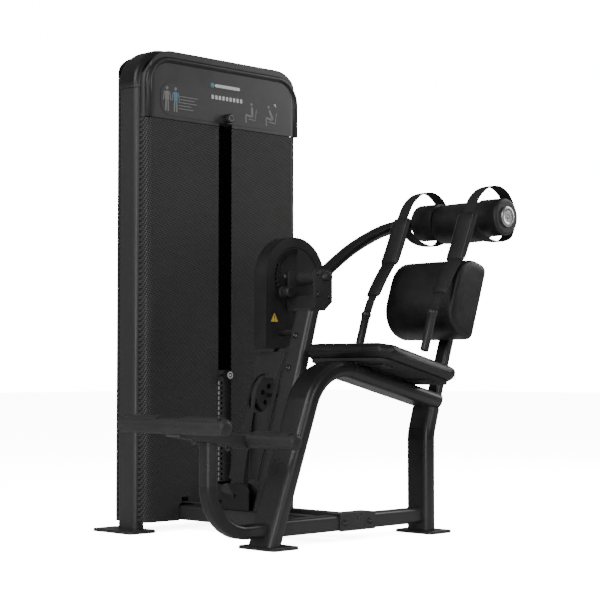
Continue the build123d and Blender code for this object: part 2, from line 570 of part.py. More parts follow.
with BuildPart() as foot_bars:
    for bar in (FRONT_BAR, REAR_BAR):
        with BuildSketch(side(SEAT_Y)):
            with Locations(bar):
                Circle(BAR_RADIUS)
        extrude(amount=BAR_LENGTH / 2, both=True)
    fillet(foot_bars.edges().filter_by(GeomType.CIRCLE), 3)
foot_bars.part.label = "foot_bars"
export_step(foot_bars.part, "parts/foot_bars.step")

TREAD_LENGTH, TREAD_HEIGHT, TREAD_OFFSET = 150.0, 5.0, 132.0
with BuildPart() as foot_treads:
    for bar_x, bar_z in (FRONT_BAR, REAR_BAR):
        for sign in (-1, 1):
            with BuildSketch(side(SEAT_Y + sign * TREAD_OFFSET)):
                with Locations((bar_x, bar_z)):
                    Circle(BAR_RADIUS + GAP + TREAD_HEIGHT)
                    Circle(BAR_RADIUS + GAP, mode=Mode.SUBTRACT)
                    with Locations((0, BAR_RADIUS)):
                        Rectangle(34, 30, mode=Mode.INTERSECT)
            extrude(amount=TREAD_LENGTH / 2, both=True)
foot_treads.part.label = "foot_treads"
export_step(foot_treads.part, "parts/foot_treads.step")

# ================================================================ seat and back rest
SEAT_FRONT_X = X0 + 283.0
BRACKET_PLATE, BOARD_PLATE = 5.5, 9.0
board_offset = FRAME_DEPTH / 2 + GAP + BRACKET_PLATE + GAP
pad_offset = board_offset + BOARD_PLATE + GAP


def seat_plane(offset):
    """The plane of the seat's middle, offset square to the sloping beam."""
    middle_x = SEAT_FRONT_X + SEAT_LENGTH / 2 * cos(radians(BEAM_SLOPE))
    x, z = beam_point(middle_x, offset)
    beam_direction = (cos(radians(BEAM_SLOPE)), 0, -sin(radians(BEAM_SLOPE)))
    beam_normal = (sin(radians(BEAM_SLOPE)), 0, cos(radians(BEAM_SLOPE)))
    return Plane(origin=(x, SEAT_Y, z), x_dir=beam_direction, z_dir=beam_normal)


with BuildPart() as seat_bracket:
    with BuildSketch(seat_plane(FRAME_DEPTH / 2 + GAP)):
        RectangleRounded(300, 70, 10)
        for station in (-105, 105):
            with Locations((station, 0)):
                RectangleRounded(46, 270, 10)
    extrude(amount=BRACKET_PLATE)
seat_bracket.part.label = "seat_bracket"
export_step(seat_bracket.part, "parts/seat_bracket.step")

with BuildPart() as seat_board:
    with BuildSketch(seat_plane(board_offset)):
        RectangleRounded(SEAT_LENGTH - 50, SEAT_WIDTH - 50, 40)
    extrude(amount=BOARD_PLATE)
seat_board.part.label = "seat_board"
export_step(seat_board.part, "parts/seat_board.step")

with BuildPart() as seat_pad:
    with BuildSketch(seat_plane(pad_offset)):
        Rectangle(SEAT_LENGTH, SEAT_WIDTH)
        chamfer(vertices(), 34)
    extrude(amount=SEAT_THICKNESS)
    top_face = seat_pad.faces().sort_by(Axis((0, 0, 0), (sin(radians(BEAM_SLOPE)), 0, cos(radians(BEAM_SLOPE)))))[-1]
    fillet(top_face.edges(), 14)
seat_pad.part.label = "seat_pad"
export_step(seat_pad.part, "parts/seat_pad.step")

BACK_BOTTOM, BACK_TOP = -143.0, 131.0
with BuildPart() as back_pad:
    with BuildSketch(post_plane):
        with Locations((-BACK_DEPTH / 2, (BACK_BOTTOM + BACK_TOP) / 2)):
            Rectangle(BACK_DEPTH, BACK_TOP - BACK_BOTTOM)
        front_corners = vertices().sort_by(Axis.X)[:2]
        fillet(front_corners, 92)
        fillet(vertices().sort_by(Axis.X)[-2:], 20)
    extrude(amount=BACK_WIDTH / 2, both=True)
back_pad.part.label = "back_pad"
export_step(back_pad.part, "parts/back_pad.step")

with BuildPart() as back_support:
    with BuildSketch(post_plane):
        with Locations((GAP + 4.5, 0)):
            Rectangle(9.0, 210)
    extrude(amount=105, both=True)
    with BuildSketch(post_plane):
        with Locations(((POST_FRONT + 9) / 2, -10)):
            Rectangle(POST_FRONT - 9 + 2, 110)
    extrude(amount=35, both=True)
    post_base = post_plane.from_local_coords((POST_FRONT + POST_DEPTH / 2, POST_BOTTOM, 0))
    with BuildSketch(across(post_base.X, post_base.Z, BACK_LEAN)):
        tube_profile(POST_WIDTH, POST_DEPTH, 10)
    extrude(amount=POST_TOP - POST_BOTTOM)
back_support.part.label = "back_support"
export_step(back_support.part, "parts/back_support.step")

# ================================================================ pivot column, yoke and cover
lean_slope = tan(radians(COLUMN_LEAN))
COLUMN_BOTTOM, COLUMN_TOP = RAIL_Z + RAIL_HEIGHT / 2 + GAP, 736.0


def column_face(z):
    """X of the column's front face at height z."""
    return COLUMN_FACE_X + (z - COLUMN_FACE_Z) * lean_slope


with BuildPart() as pivot_column:
    with BuildSketch(Plane.XY.offset(COLUMN_BOTTOM)):
        with Locations((column_face(COLUMN_BOTTOM) + COLUMN_DEPTH / 2, NEAR_Y + COLUMN_WIDTH / 2)):
            tube_profile(COLUMN_DEPTH, COLUMN_WIDTH, 16)
    extrude(amount=(COLUMN_TOP - COLUMN_BOTTOM) / cos(radians(COLUMN_LEAN)), dir=(lean_slope, 0, 1))
pivot_column.part.label = "pivot_column"
export_step(pivot_column.part, "parts/pivot_column.step")

HOUSING_NEAR_Y, HOUSING_FAR_Y = NEAR_Y + COLUMN_WIDTH + GAP, Y0 - 236.0
HOUSING_BOTTOM, HOUSING_TOP = 182.0, 600.0
WINDOW_WIDTH, WINDOW_HEIGHT, WINDOW_Z = 104.0, 134.0, 463.0
with BuildPart() as belt_housing:
    with BuildSketch(Plane.XY.offset(HOUSING_BOTTOM)):
        with BuildLine():
            face_x = column_face(HOUSING_BOTTOM)
            Polyline(
                (face_x, HOUSING_NEAR_Y), (face_x, HOUSING_FAR_Y), (face_x + 44, HOUSING_FAR_Y),
                (face_x + 44, HOUSING_FAR_Y - 4), (face_x + 4, HOUSING_FAR_Y - 4), (face_x + 4, HOUSING_NEAR_Y),
                close=True,
            )
        make_face()
    extrude(amount=(HOUSING_TOP - HOUSING_BOTTOM) / cos(radians(COLUMN_LEAN)), dir=(lean_slope, 0, 1))
    window_y = (HOUSING_NEAR_Y + HOUSING_FAR_Y - 4) / 2 + 4
    window_plane = Plane(
        origin=(column_face(WINDOW_Z), window_y, WINDOW_Z), x_dir=(0, -1, 0),
        z_dir=(-cos(radians(COLUMN_LEAN)), 0, sin(radians(COLUMN_LEAN))),
    )
    with BuildSketch(window_plane):
        RectangleRounded(WINDOW_WIDTH, WINDOW_HEIGHT, 44)
    extrude(amount=12, both=True, mode=Mode.SUBTRACT)
    with BuildSketch(side(HOUSING_FAR_Y - 2)):
        with Locations((IDLER_X, IDLER_Z)):
            Circle(AXLE_RADIUS)
    extrude(amount=HOUSING_FAR_Y - 2 - HOUSING_NEAR_Y)
    with BuildSketch(Plane.YZ.offset(IDLER_X - 36)):
        with Locations((HOUSING_FAR_Y - 2, IDLER_Z)):
            Rectangle(4, 60)
    extrude(amount=52)
belt_housing.part.label = "belt_housing"
export_step(belt_housing.part, "parts/belt_housing.step")

YOKE_PLATE = 10.0
YOKE_FAR_Y = Y0 - 325.0
BUSH_RADIUS, BUSH_BORE = 20.0, SHAFT_RADIUS + 0.05
PIN_X, PIN_LEVEL = HUB_X - 77.0, HUB_Z - 50.0      # the pull pin for the start position
PIN_CIRCLE = hypot(77.0, 50.0)
with BuildPart() as yoke:
    for plate_y in (NEAR_Y + YOKE_PLATE, YOKE_FAR_Y):
        with BuildSketch(side(plate_y)):
            with BuildLine():
                Polyline(
                    (HUB_X - 56, COLUMN_TOP + GAP), (HUB_X - 56, HUB_Z + 24), (HUB_X + 26, HUB_Z + 24),
                    (HUB_X + 26, HUB_Z - 84), (HUB_X - 10, COLUMN_TOP + GAP), close=True,
                )
            make_face()
            fillet(vertices().sort_by(Axis.Y)[-2:], 12)
            with Locations((HUB_X, HUB_Z)):
                Circle(BUSH_RADIUS, mode=Mode.SUBTRACT)
        extrude(amount=YOKE_PLATE)
    with BuildSketch(side(YOKE_FAR_Y)):
        with Locations((PIN_X, PIN_LEVEL)):
            Circle(20)
        with Locations(((PIN_X + HUB_X - 50) / 2, PIN_LEVEL)):
            Rectangle(HUB_X - 50 - PIN_X, 40)
        with Locations((PIN_X, PIN_LEVEL)):
            Circle(7.05, mode=Mode.SUBTRACT)
    extrude(amount=YOKE_PLATE)
    with BuildSketch(Plane.XY.offset(COLUMN_TOP + GAP)):
        with Locations((HUB_X - 33, (NEAR_Y + YOKE_FAR_Y) / 2)):
            Rectangle(46, YOKE_FAR_Y - NEAR_Y)
    extrude(amount=50)
    with BuildSketch(Plane.XY.offset(COLUMN_TOP + GAP)):
        with Locations((HUB_X - 42, NEAR_Y + COLUMN_WIDTH / 2)):
            Rectangle(64, COLUMN_WIDTH)
    extrude(amount=8)
yoke.part.label = "yoke"
export_step(yoke.part, "parts/yoke.step")

with BuildPart() as pivot_bushes:
    for bush_y in (NEAR_Y + YOKE_PLATE, YOKE_FAR_Y):
        with BuildSketch(side(bush_y)):
            with Locations((HUB_X, HUB_Z)):
                Circle(BUSH_RADIUS - 0.02)
                Circle(BUSH_BORE, mode=Mode.SUBTRACT)
        extrude(amount=YOKE_PLATE)
pivot_bushes.part.label = "pivot_bushes"
export_step(pivot_bushes.part, "parts/pivot_bushes.step")

TAIL_BOTTOM, TAIL_LEFT, TAIL_RIGHT = 612.0, HUB_X - COVER_RADIUS, HUB_X - 46.0


def cover_outline(shrink):
    """The cover's teardrop, drawn in the open sketch: a disc with a tail down its front side."""
    radius = COVER_RADIUS - shrink
    with Locations((HUB_X, HUB_Z)):
        Circle(radius)
    Polygon(
        (TAIL_LEFT + shrink, HUB_Z), (TAIL_LEFT + shrink, TAIL_BOTTOM), (TAIL_RIGHT - shrink, TAIL_BOTTOM),
        (HUB_X + radius * 0.72, HUB_Z - radius * 0.694), (HUB_X, HUB_Z), align=None,
    )


with BuildPart() as cam_cover:
    with BuildSketch(side(COVER_FAR_Y)):
        cover_outline(0)
    extrude(amount=COVER_FAR_Y - COVER_NEAR_Y)
    with BuildSketch(side(COVER_FAR_Y - 3)):
        cover_outline(3)
    extrude(amount=COVER_FAR_Y - COVER_NEAR_Y - 6, mode=Mode.SUBTRACT)
    with BuildSketch(side(COVER_FAR_Y)):
        with Locations((HUB_X, HUB_Z)):
            Circle(CAM_PITCH + 6)
    extrude(amount=COVER_FAR_Y - COVER_NEAR_Y + 1, mode=Mode.SUBTRACT)
    with BuildSketch(side(COVER_FAR_Y)):
        cover_outline(0)
        with Locations((HUB_X, HUB_Z)):
            Circle(30, mode=Mode.SUBTRACT)
    extrude(amount=3)
    with BuildSketch(side(COVER_NEAR_Y)):
        with Locations((X0 + 376, 665)):
            Circle(12)
    extrude(amount=COVER_NEAR_Y - NEAR_Y - COLUMN_WIDTH - GAP)
cam_cover.part.label = "cam_cover"
export_step(cam_cover.part, "parts/cam_cover.step")

# the pull pin locks the start-position disc; the disc turns on the pivot shaft
with BuildPart() as pull_knob:
    knob_back = YOKE_FAR_Y - YOKE_PLATE - 4
    with BuildSketch(side(COVER_NEAR_Y + 0.5)):
        with Locations((PIN_X, PIN_LEVEL)):
            Circle(7.0)
    extrude(amount=COVER_NEAR_Y + 0.5 - knob_back)
    with BuildSketch(side(knob_back)):
        with Locations((PIN_X, PIN_LEVEL)):
            Circle(19)
    extrude(amount=26)
    fillet(pull_knob.edges().group_by(Axis.Y)[0], 6)
pull_knob.part.label = "pull_knob"
export_step(pull_knob.part, "parts/pull_knob.step")

START_DISC_Y = COVER_NEAR_Y + 9.0
with BuildPart() as start_disc:
    with BuildSketch(side(START_DISC_Y)):
        with Locations((HUB_X, HUB_Z)):
            Circle(CAM_PITCH + 4)
            Circle(SHAFT_RADIUS + 0.1, mode=Mode.SUBTRACT)
            with PolarLocations(PIN_CIRCLE, 7, start_angle=153, angular_range=60, endpoint=True):
                Circle(7.5, mode=Mode.SUBTRACT)
    extrude(amount=8)
    with BuildSketch(side(START_DISC_Y - 8)):
        with BuildLine():
            CenterArc((HUB_X, HUB_Z), 100, 85, 128)
            CenterArc((HUB_X, HUB_Z), 80, 85, 128)
            for angle in (85, 213):
                Line(PolarLine((HUB_X, HUB_Z), 80, angle) @ 1, PolarLine((HUB_X, HUB_Z), 100, angle) @ 1)
        make_face()
    extrude(amount=-3, mode=Mode.SUBTRACT)
start_disc.part.label = "start_disc"
export_step(start_disc.part, "parts/start_disc.step")

# ================================================================ cam, belt and its guide
with BuildPart() as cam:
    with BuildSketch(Plane(origin=(HUB_X, BELT_Y, HUB_Z), x_dir=(1, 0, 0), z_dir=(0, 0, 1))):
        with BuildLine():
            cam_surface = CAM_PITCH - BELT_THICKNESS / 2 - GAP
            Polyline(
                (SHAFT_RADIUS + 0.02, -18), (CAM_PITCH + 3, -18), (CAM_PITCH + 3, -12), (cam_surface, -12),
                (cam_surface, 12), (CAM_PITCH + 3, 12), (CAM_PITCH + 3, 18), (SHAFT_RADIUS + 0.02, 18), close=True,
            )
        make_face()
    revolve(axis=Axis((HUB_X, BELT_Y, HUB_Z), (0, 1, 0)))
cam.part.label = "cam"
export_step(cam.part, "parts/cam.step")

BRACKET_FLOOR = RAIL_Z + RAIL_HEIGHT / 2 + GAP
with BuildPart() as base_bracket:
    with BuildSketch(Plane.XY.offset(BRACKET_FLOOR)):
        with Locations((BELT_X, BASE_PULLEY_Y - 6)):
            Rectangle(38, 130)
    extrude(amount=3)
    for cheek_x in (BELT_X - 19, BELT_X + 14):
        with BuildSketch(Plane.YZ.offset(cheek_x)):
            with Locations((BASE_PULLEY_Y - 6, BRACKET_FLOOR + 40)):
                RectangleRounded(130, 90, 30)
            with Locations((BASE_PULLEY_Y - 6, BRACKET_FLOOR - 50)):
                Rectangle(140, 100, mode=Mode.SUBTRACT)
            with Locations((BASE_PULLEY_Y - 6, BRACKET_FLOOR + 20)):
                Rectangle(130, 40)
        extrude(amount=5)
    with BuildSketch(Plane.YZ.offset(BELT_X - 25)):
        with Locations((BASE_PULLEY_Y, BASE_PULLEY_Z)):
            Circle(AXLE_RADIUS)
    extrude(amount=50)
base_bracket.part.label = "base_bracket"
export_step(base_bracket.part, "parts/base_bracket.step")

# the belt leaves the cam on the tangent that crosses over to the idler's other side
reach = Vector(IDLER_X - HUB_X, IDLER_Z - HUB_Z)
cosine = (CAM_PITCH + IDLER_PITCH) / reach.length
along = reach.normalized()
tangent_normal = along * cosine + Vector(-along.Y, along.X) * (1 - cosine ** 2) ** 0.5
cam_leave = Vector(HUB_X, HUB_Z) + tangent_normal * CAM_PITCH
idler_meet = Vector(IDLER_X, IDLER_Z) - tangent_normal * IDLER_PITCH
IDLER_LEAVE_ANGLE = 163.0
idler_leave = Vector(
    IDLER_X + IDLER_PITCH * cos(radians(IDLER_LEAVE_ANGLE)), IDLER_Z + IDLER_PITCH * sin(radians(IDLER_LEAVE_ANGLE))
)
WIDE_X, WIDE_Y = Vector(1, 0, 0), Vector(0, 1, 0)
falling = Vector(BELT_X - idler_leave.X, 0, 138 - idler_leave.Y).normalized()
below_idler = Vector(idler_leave.X, BELT_Y, idler_leave.Y) + falling * 24
above_base = Vector(BELT_X, BASE_PULLEY_Y - BASE_PITCH, 190)
above_bottom = Vector(BELT_X, BOTTOM_PULLEY_Y + TOWER_PITCH, 190)
TWISTS = (
    (below_idler, WIDE_Y, above_base, WIDE_X),
    (above_bottom, WIDE_X, Vector(BELT_X, STACK_Y, TOP_PULLEY_Z), WIDE_Y),
)
with BuildPart() as drive_belt:
    with BuildLine(side(BELT_Y)) as cam_run:
        straight = Line((cam_leave.X, cam_leave.Y), (idler_meet.X, idler_meet.Y))
        TangentArc(straight @ 1, (idler_leave.X, idler_leave.Y), tangent=straight % 1)
        Line((idler_leave.X, idler_leave.Y), (below_idler.X, below_idler.Z))
    with BuildSketch(Plane(origin=cam_run.line @ 0, x_dir=WIDE_Y, z_dir=cam_run.line % 0)):
        Rectangle(BELT_WIDTH, BELT_THICKNESS)
    sweep()
    with BuildLine(Plane.YZ.offset(BELT_X)) as floor_run:
        Line((above_base.Y, above_base.Z), (above_base.Y, BASE_PULLEY_Z))
        CenterArc((BASE_PULLEY_Y, BASE_PULLEY_Z), BASE_PITCH, 180, 90)
        Line((BASE_PULLEY_Y, BELT_FLOOR_Z), (BOTTOM_PULLEY_Y, BELT_FLOOR_Z))
        CenterArc((BOTTOM_PULLEY_Y, BOTTOM_PULLEY_Z), TOWER_PITCH, 270, 90)
        Line((above_bottom.Y, BOTTOM_PULLEY_Z), (above_bottom.Y, above_bottom.Z))
    with BuildSketch(Plane(origin=floor_run.line @ 0, x_dir=WIDE_X, z_dir=floor_run.line % 0)):
        Rectangle(BELT_WIDTH, BELT_THICKNESS)
    sweep()
    with BuildLine(side(STACK_Y)) as top_run:
        CenterArc((TOP_PULLEY_XS[0], TOP_PULLEY_Z), TOWER_PITCH, 180, -90)
        Line((TOP_PULLEY_XS[0], TOP_PULLEY_Z + TOWER_PITCH), (TOP_PULLEY_XS[1], TOP_PULLEY_Z + TOWER_PITCH))
        CenterArc((TOP_PULLEY_XS[1], TOP_PULLEY_Z), TOWER_PITCH, 90, -90)
    with BuildSketch(Plane(origin=(BELT_X, STACK_Y, TOP_PULLEY_Z), x_dir=WIDE_Y, z_dir=(0, 0, 1))):
        Rectangle(BELT_WIDTH, BELT_THICKNESS)
    sweep()
    for start, wide_start, end, wide_end in TWISTS:
        run = (end - start).normalized()
        for point, wide in (
            (start, wide_start), ((start + end) / 2, wide_start + wide_end), (end, wide_end),
        ):
            with BuildSketch(Plane(origin=point, x_dir=wide - run * wide.dot(run), z_dir=run)):
                Rectangle(BELT_WIDTH, BELT_THICKNESS)
        loft(ruled=True)
drive_belt.part.label = "drive_belt"
export_step(drive_belt.part, "parts/drive_belt.step")

# ================================================================ arm, roll and straps
ARM_POINTS = (
    (HUB_X, ARM_Y, HUB_Z), (HUB_X + 154, ARM_Y, HUB_Z + 105), (HUB_X + 334, ARM_Y, HUB_Z + 185),
    (ROLL_X, ARM_Y, ROLL_Z), (ROLL_X, ROLL_NEAR_Y + 4, ROLL_Z),
)
HUB_TUBE_NEAR, HUB_TUBE_FAR = NEAR_Y + YOKE_PLATE + 1.5, YOKE_FAR_Y - YOKE_PLATE - 1.5
with BuildPart() as arm:
    with BuildLine() as arm_path:
        FilletPolyline(*ARM_POINTS, radius=(900, 580, 48))
    with BuildSketch(Plane(origin=arm_path.line @ 0, x_dir=(0, 1, 0), z_dir=arm_path.line % 0)):
        Circle(ARM_RADIUS)
        Circle(ARM_RADIUS - WALL, mode=Mode.SUBTRACT)
    sweep()
    with BuildSketch(side(HUB_TUBE_FAR)):
        with Locations((HUB_X, HUB_Z)):
            Circle(HUB_RADIUS)
    extrude(amount=HUB_TUBE_FAR - HUB_TUBE_NEAR)
    with BuildSketch(side(HUB_TUBE_FAR + 10)):
        with Locations((HUB_X, HUB_Z)):
            Circle(SHAFT_RADIUS + 0.02)
    extrude(amount=HUB_TUBE_FAR - HUB_TUBE_NEAR + 20, mode=Mode.SUBTRACT)
arm.part.label = "arm"
export_step(arm.part, "parts/arm.step")

with BuildPart() as pivot_shaft:
    with BuildSketch(side(COVER_FAR_Y - 5)):
        with Locations((HUB_X, HUB_Z)):
            Circle(SHAFT_RADIUS)
    extrude(amount=COVER_FAR_Y - 5 - NEAR_Y + 6)
    chamfer(pivot_shaft.edges().filter_by(GeomType.CIRCLE), 1.5)
pivot_shaft.part.label = "pivot_shaft"
export_step(pivot_shaft.part, "parts/pivot_shaft.step")

NECK_FAR_Y = Y0 - 565.0
NECK_NEAR_Y = NECK_FAR_Y - NECK_PAD_LENGTH
CORE_BORE = ARM_RADIUS + GAP
for name, start_y, end_y, round_face in (
    ("roll_housing_far", ROLL_FAR_Y, NECK_FAR_Y + GAP, -1), ("roll_housing_near", NECK_NEAR_Y - GAP, ROLL_NEAR_Y, 0),
):
    with BuildPart() as roll_housing:
        with BuildSketch(side(start_y)):
            with Locations((ROLL_X, ROLL_Z)):
                Circle(ROLL_RADIUS)
        extrude(amount=start_y - end_y)
        outer_rim = roll_housing.edges().filter_by(GeomType.CIRCLE).sort_by(Axis.Y)[round_face]
        fillet(outer_rim, 10)
        with BuildSketch(side(start_y + 1)):
            with Locations((ROLL_X, ROLL_Z)):
                Circle(CORE_BORE)
        extrude(amount=start_y - end_y + 2, mode=Mode.SUBTRACT)
    roll_housing.part.label = name
    export_step(roll_housing.part, f"parts/{name}.step")

with BuildPart() as neck_pad:
    with BuildSketch(side(NECK_FAR_Y)):
        with Locations((ROLL_X, ROLL_Z - 10)):
            Circle(NECK_PAD_RADIUS)
    extrude(amount=NECK_PAD_LENGTH)
    fillet(neck_pad.edges().filter_by(GeomType.CIRCLE), 14)
    with BuildSketch(side(NECK_FAR_Y + 1)):
        with Locations((ROLL_X, ROLL_Z)):
            Circle(CORE_BORE)
    extrude(amount=NECK_PAD_LENGTH + 2, mode=Mode.SUBTRACT)
neck_pad.part.label = "neck_pad"
export_step(neck_pad.part, "parts/neck_pad.step")

with BuildPart() as end_disc:
    with BuildSketch(side(ROLL_NEAR_Y - GAP)):
        with Locations((ROLL_X, ROLL_Z)):
            Circle(35)
    extrude(amount=6)
    fillet(end_disc.edges().group_by(Axis.Y)[0], 2)
end_disc.part.label = "end_disc"
export_step(end_disc.part, "parts/end_disc.step")

LOOP_POINTS = (
    (-158, -6), (-134, 40), (-113, 66), (-75, 92), (-28, 104), (10, 98), (42, 78), (66, 44), (74, 0),
    (66, -40), (50, -66), (22, -79), (-13, -83), (-50, -80), (-83, -71), (-115, -54), (-138, -34), (-152, -16),
)
WEBBING_WIDTH, WEBBING_THICKNESS = 48.0, 3.0
UPPER_SLEEVE = ((-156, 2), (-223, -156), 24.0, 78.0)     # from, to, thickness, width
LOWER_SLEEVE = ((-223, -156), (-305, -266), 20.0, 62.0)
GRIP_TOP, GRIP_BOTTOM, GRIP_RADIUS = (-337, -326), (-380, -455), 13.5
GRIP_LINK = ((-303, -264), (-335.6, -324.8), 4.0, 26.0)


def strap_point(point):
    return (ROLL_X + point[0], ROLL_Z + point[1])


def band(points):
    """The outline of a strip of webbing laid along the points of a side plane."""
    left, right = [], []
    for index, point in enumerate(points):
        before = Vector(*points[max(index - 1, 0)])
        after = Vector(*points[min(index + 1, len(points) - 1)])
        along = (after - before).normalized()
        across_it = Vector(-along.Y, along.X) * (WEBBING_THICKNESS / 2)
        left.append((point[0] + across_it.X, point[1] + across_it.Y))
        right.append((point[0] - across_it.X, point[1] - across_it.Y))
    return left + right[::-1]


for name, strap_y in (("near", SEAT_Y - STRAP_OFFSET), ("far", SEAT_Y + STRAP_OFFSET)):
    with BuildPart() as strap:
        with BuildSketch(side(strap_y)):
            Polygon(*[strap_point(point) for point in band(LOOP_POINTS)], align=None)
        extrude(amount=WEBBING_WIDTH / 2, both=True)
        for start, end, thickness, width in (UPPER_SLEEVE, LOWER_SLEEVE, GRIP_LINK):
            start = Vector(*strap_point(start))
            end = Vector(*strap_point(end))
            tilt = degrees(atan2(end.Y - start.Y, end.X - start.X))
            with BuildSketch(side(strap_y)):
                with Locations(Location(((start.X + end.X) / 2, (start.Y + end.Y) / 2), tilt)):
                    RectangleRounded((end - start).length, thickness, thickness / 2 - 1)
            extrude(amount=width / 2, both=True)
    strap.part.label = f"strap_{name}"
    export_step(strap.part, f"parts/strap_{name}.step")

    with BuildPart() as grip:
        top = Vector(*strap_point(GRIP_TOP))
        bottom = Vector(*strap_point(GRIP_BOTTOM))
        axis_line = top - bottom
        with BuildSketch(Plane(origin=(bottom.X, strap_y, bottom.Y), x_dir=(0, 1, 0), z_dir=(axis_line.X, 0, axis_line.Y))):
            Circle(GRIP_RADIUS)
        extrude(amount=axis_line.length)
        fillet(grip.edges(), 3)
    grip.part.label = f"grip_{name}"
    export_step(grip.part, f"parts/grip_{name}.step")

# ================================================================ visible bolts
with BuildPart() as frame_bolts:
    column_normal = (-cos(radians(COLUMN_LEAN)), 0, sin(radians(COLUMN_LEAN)))
    for bolt_z in (545.0, 652.0):
        with BuildSketch(Plane(origin=(column_face(bolt_z) - GAP, Y0 - 407, bolt_z), x_dir=(0, 1, 0), z_dir=column_normal)):
            Circle(11)
        extrude(amount=6)
    for bolt_x in (X0 + 285, X0 + 402):
        with BuildSketch(side(SEAT_Y - RAIL_WIDTH / 2 - 4 - 2 * GAP)):
            with Locations((bolt_x, RAIL_Z)):
                RegularPolygon(9, 6)
        extrude(amount=7)
frame_bolts.part.label = "frame_bolts"
export_step(frame_bolts.part, "parts/frame_bolts.step")
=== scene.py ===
import bpy, bmesh, math
from mathutils import Vector, Matrix


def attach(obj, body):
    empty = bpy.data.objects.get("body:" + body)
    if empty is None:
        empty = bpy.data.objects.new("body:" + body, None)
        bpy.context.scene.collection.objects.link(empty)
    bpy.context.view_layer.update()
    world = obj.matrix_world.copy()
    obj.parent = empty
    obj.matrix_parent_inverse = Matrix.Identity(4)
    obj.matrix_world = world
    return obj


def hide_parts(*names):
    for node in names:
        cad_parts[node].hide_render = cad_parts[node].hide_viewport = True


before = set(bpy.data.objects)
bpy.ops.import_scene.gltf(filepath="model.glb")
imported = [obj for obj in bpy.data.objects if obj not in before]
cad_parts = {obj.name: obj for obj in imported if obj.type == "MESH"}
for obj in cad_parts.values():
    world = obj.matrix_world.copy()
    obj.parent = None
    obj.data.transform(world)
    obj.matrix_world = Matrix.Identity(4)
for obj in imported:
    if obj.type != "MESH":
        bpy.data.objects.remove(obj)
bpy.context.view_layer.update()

# ---------------------------------------------------------------- shared numbers, in metres
X0, Y0 = -0.2825, 0.3645         # tower's left face and front face in the machine's frame
MID_X = X0 + 0.3675
SEAT_Y = Y0 - 0.660
HUB = Vector((X0 + 0.446, Y0 - 0.390, 0.850))
ROLL = Vector((X0 + 0.913, SEAT_Y, 1.056))


# ---------------------------------------------------------------- node material helpers
def new_material(name):
    mat = bpy.data.materials.new(name)
    mat.use_nodes = True
    tree = mat.node_tree
    tree.nodes.clear()
    out = tree.nodes.new("ShaderNodeOutputMaterial")
    bsdf = tree.nodes.new("ShaderNodeBsdfPrincipled")
    tree.links.new(bsdf.outputs[0], out.inputs[0])
    return mat, tree, bsdf


def noise(tree, scale, detail=4.0, rough=0.5, coords=None):
    n = tree.nodes.new("ShaderNodeTexNoise")
    n.inputs["Scale"].default_value = scale
    n.inputs["Detail"].default_value = detail
    n.inputs["Roughness"].default_value = rough
    if coords is None:
        coords = tree.nodes.new("ShaderNodeTexCoord").outputs["Object"]
    tree.links.new(coords, n.inputs["Vector"])
    return n


def ramp(tree, source, stops):
    r = tree.nodes.new("ShaderNodeValToRGB")
    r.color_ramp.elements[0].position = stops[0][0]
    r.color_ramp.elements[0].color = stops[0][1]
    r.color_ramp.elements[1].position = stops[-1][0]
    r.color_ramp.elements[1].color = stops[-1][1]
    for pos, col in stops[1:-1]:
        e = r.color_ramp.elements.new(pos)
        e.color = col
    tree.links.new(source, r.inputs[0])
    return r


def grey(v, warm=0.0):
    return (v + warm, v, v - warm * 0.5, 1)


def math_node(tree, op, a, b=None, clamp=False):
    m = tree.nodes.new("ShaderNodeMath")
    m.operation = op
    m.use_clamp = clamp
    for i, v in enumerate((a, b)):
        if v is None:
            continue
        if isinstance(v, (int, float)):
            m.inputs[i].default_value = v
        else:
            tree.links.new(v, m.inputs[i])
    return m.outputs[0]


def bump(tree, bsdf, height, strength, distance):
    b = tree.nodes.new("ShaderNodeBump")
    b.inputs["Strength"].default_value = strength
    b.inputs["Distance"].default_value = distance
    tree.links.new(height, b.inputs["Height"])
    tree.links.new(b.outputs[0], bsdf.inputs["Normal"])
    return b


def powder_coat(name, base, rough, grain=900.0, strength=0.25, edge=0.06, metallic=0.0):
    """Satin powder coat: fine orange peel, soft tone variation and sharp edges painted lighter as a painted
    highlight.
    """
    mat, tree, bsdf = new_material(name)
    tone = noise(tree, 6.0, 3.0)
    col = ramp(tree, tone.outputs[0], [(0.3, grey(base * 0.85)), (0.7, grey(base * 1.2))])
    # sharp edges, found by pointiness, are mixed half way towards a lighter grey set by the edge argument: a
    # painted highlight along the edges
    geo = tree.nodes.new("ShaderNodeNewGeometry")
    edge_highlight = ramp(tree, geo.outputs["Pointiness"], [(0.52, (0, 0, 0, 1)), (0.60, (1, 1, 1, 1))])
    mix = tree.nodes.new("ShaderNodeMix")
    mix.data_type = "RGBA"
    tree.links.new(math_node(tree, "MULTIPLY", edge_highlight.outputs[0], 0.5), mix.inputs["Factor"])
    tree.links.new(col.outputs[0], mix.inputs[6])
    mix.inputs[7].default_value = grey(base + edge)
    tree.links.new(mix.outputs[2], bsdf.inputs["Base Color"])
    peel = noise(tree, grain, 2.0)
    smudge = noise(tree, 14.0, 5.0, 0.6)
    r = ramp(tree, smudge.outputs[0], [(0.3, grey(rough - 0.05)), (0.75, grey(rough + 0.07))])
    tree.links.new(r.outputs[0], bsdf.inputs["Roughness"])
    bsdf.inputs["Metallic"].default_value = metallic
    bump(tree, bsdf, peel.outputs[0], strength, 0.0002)
    return mat


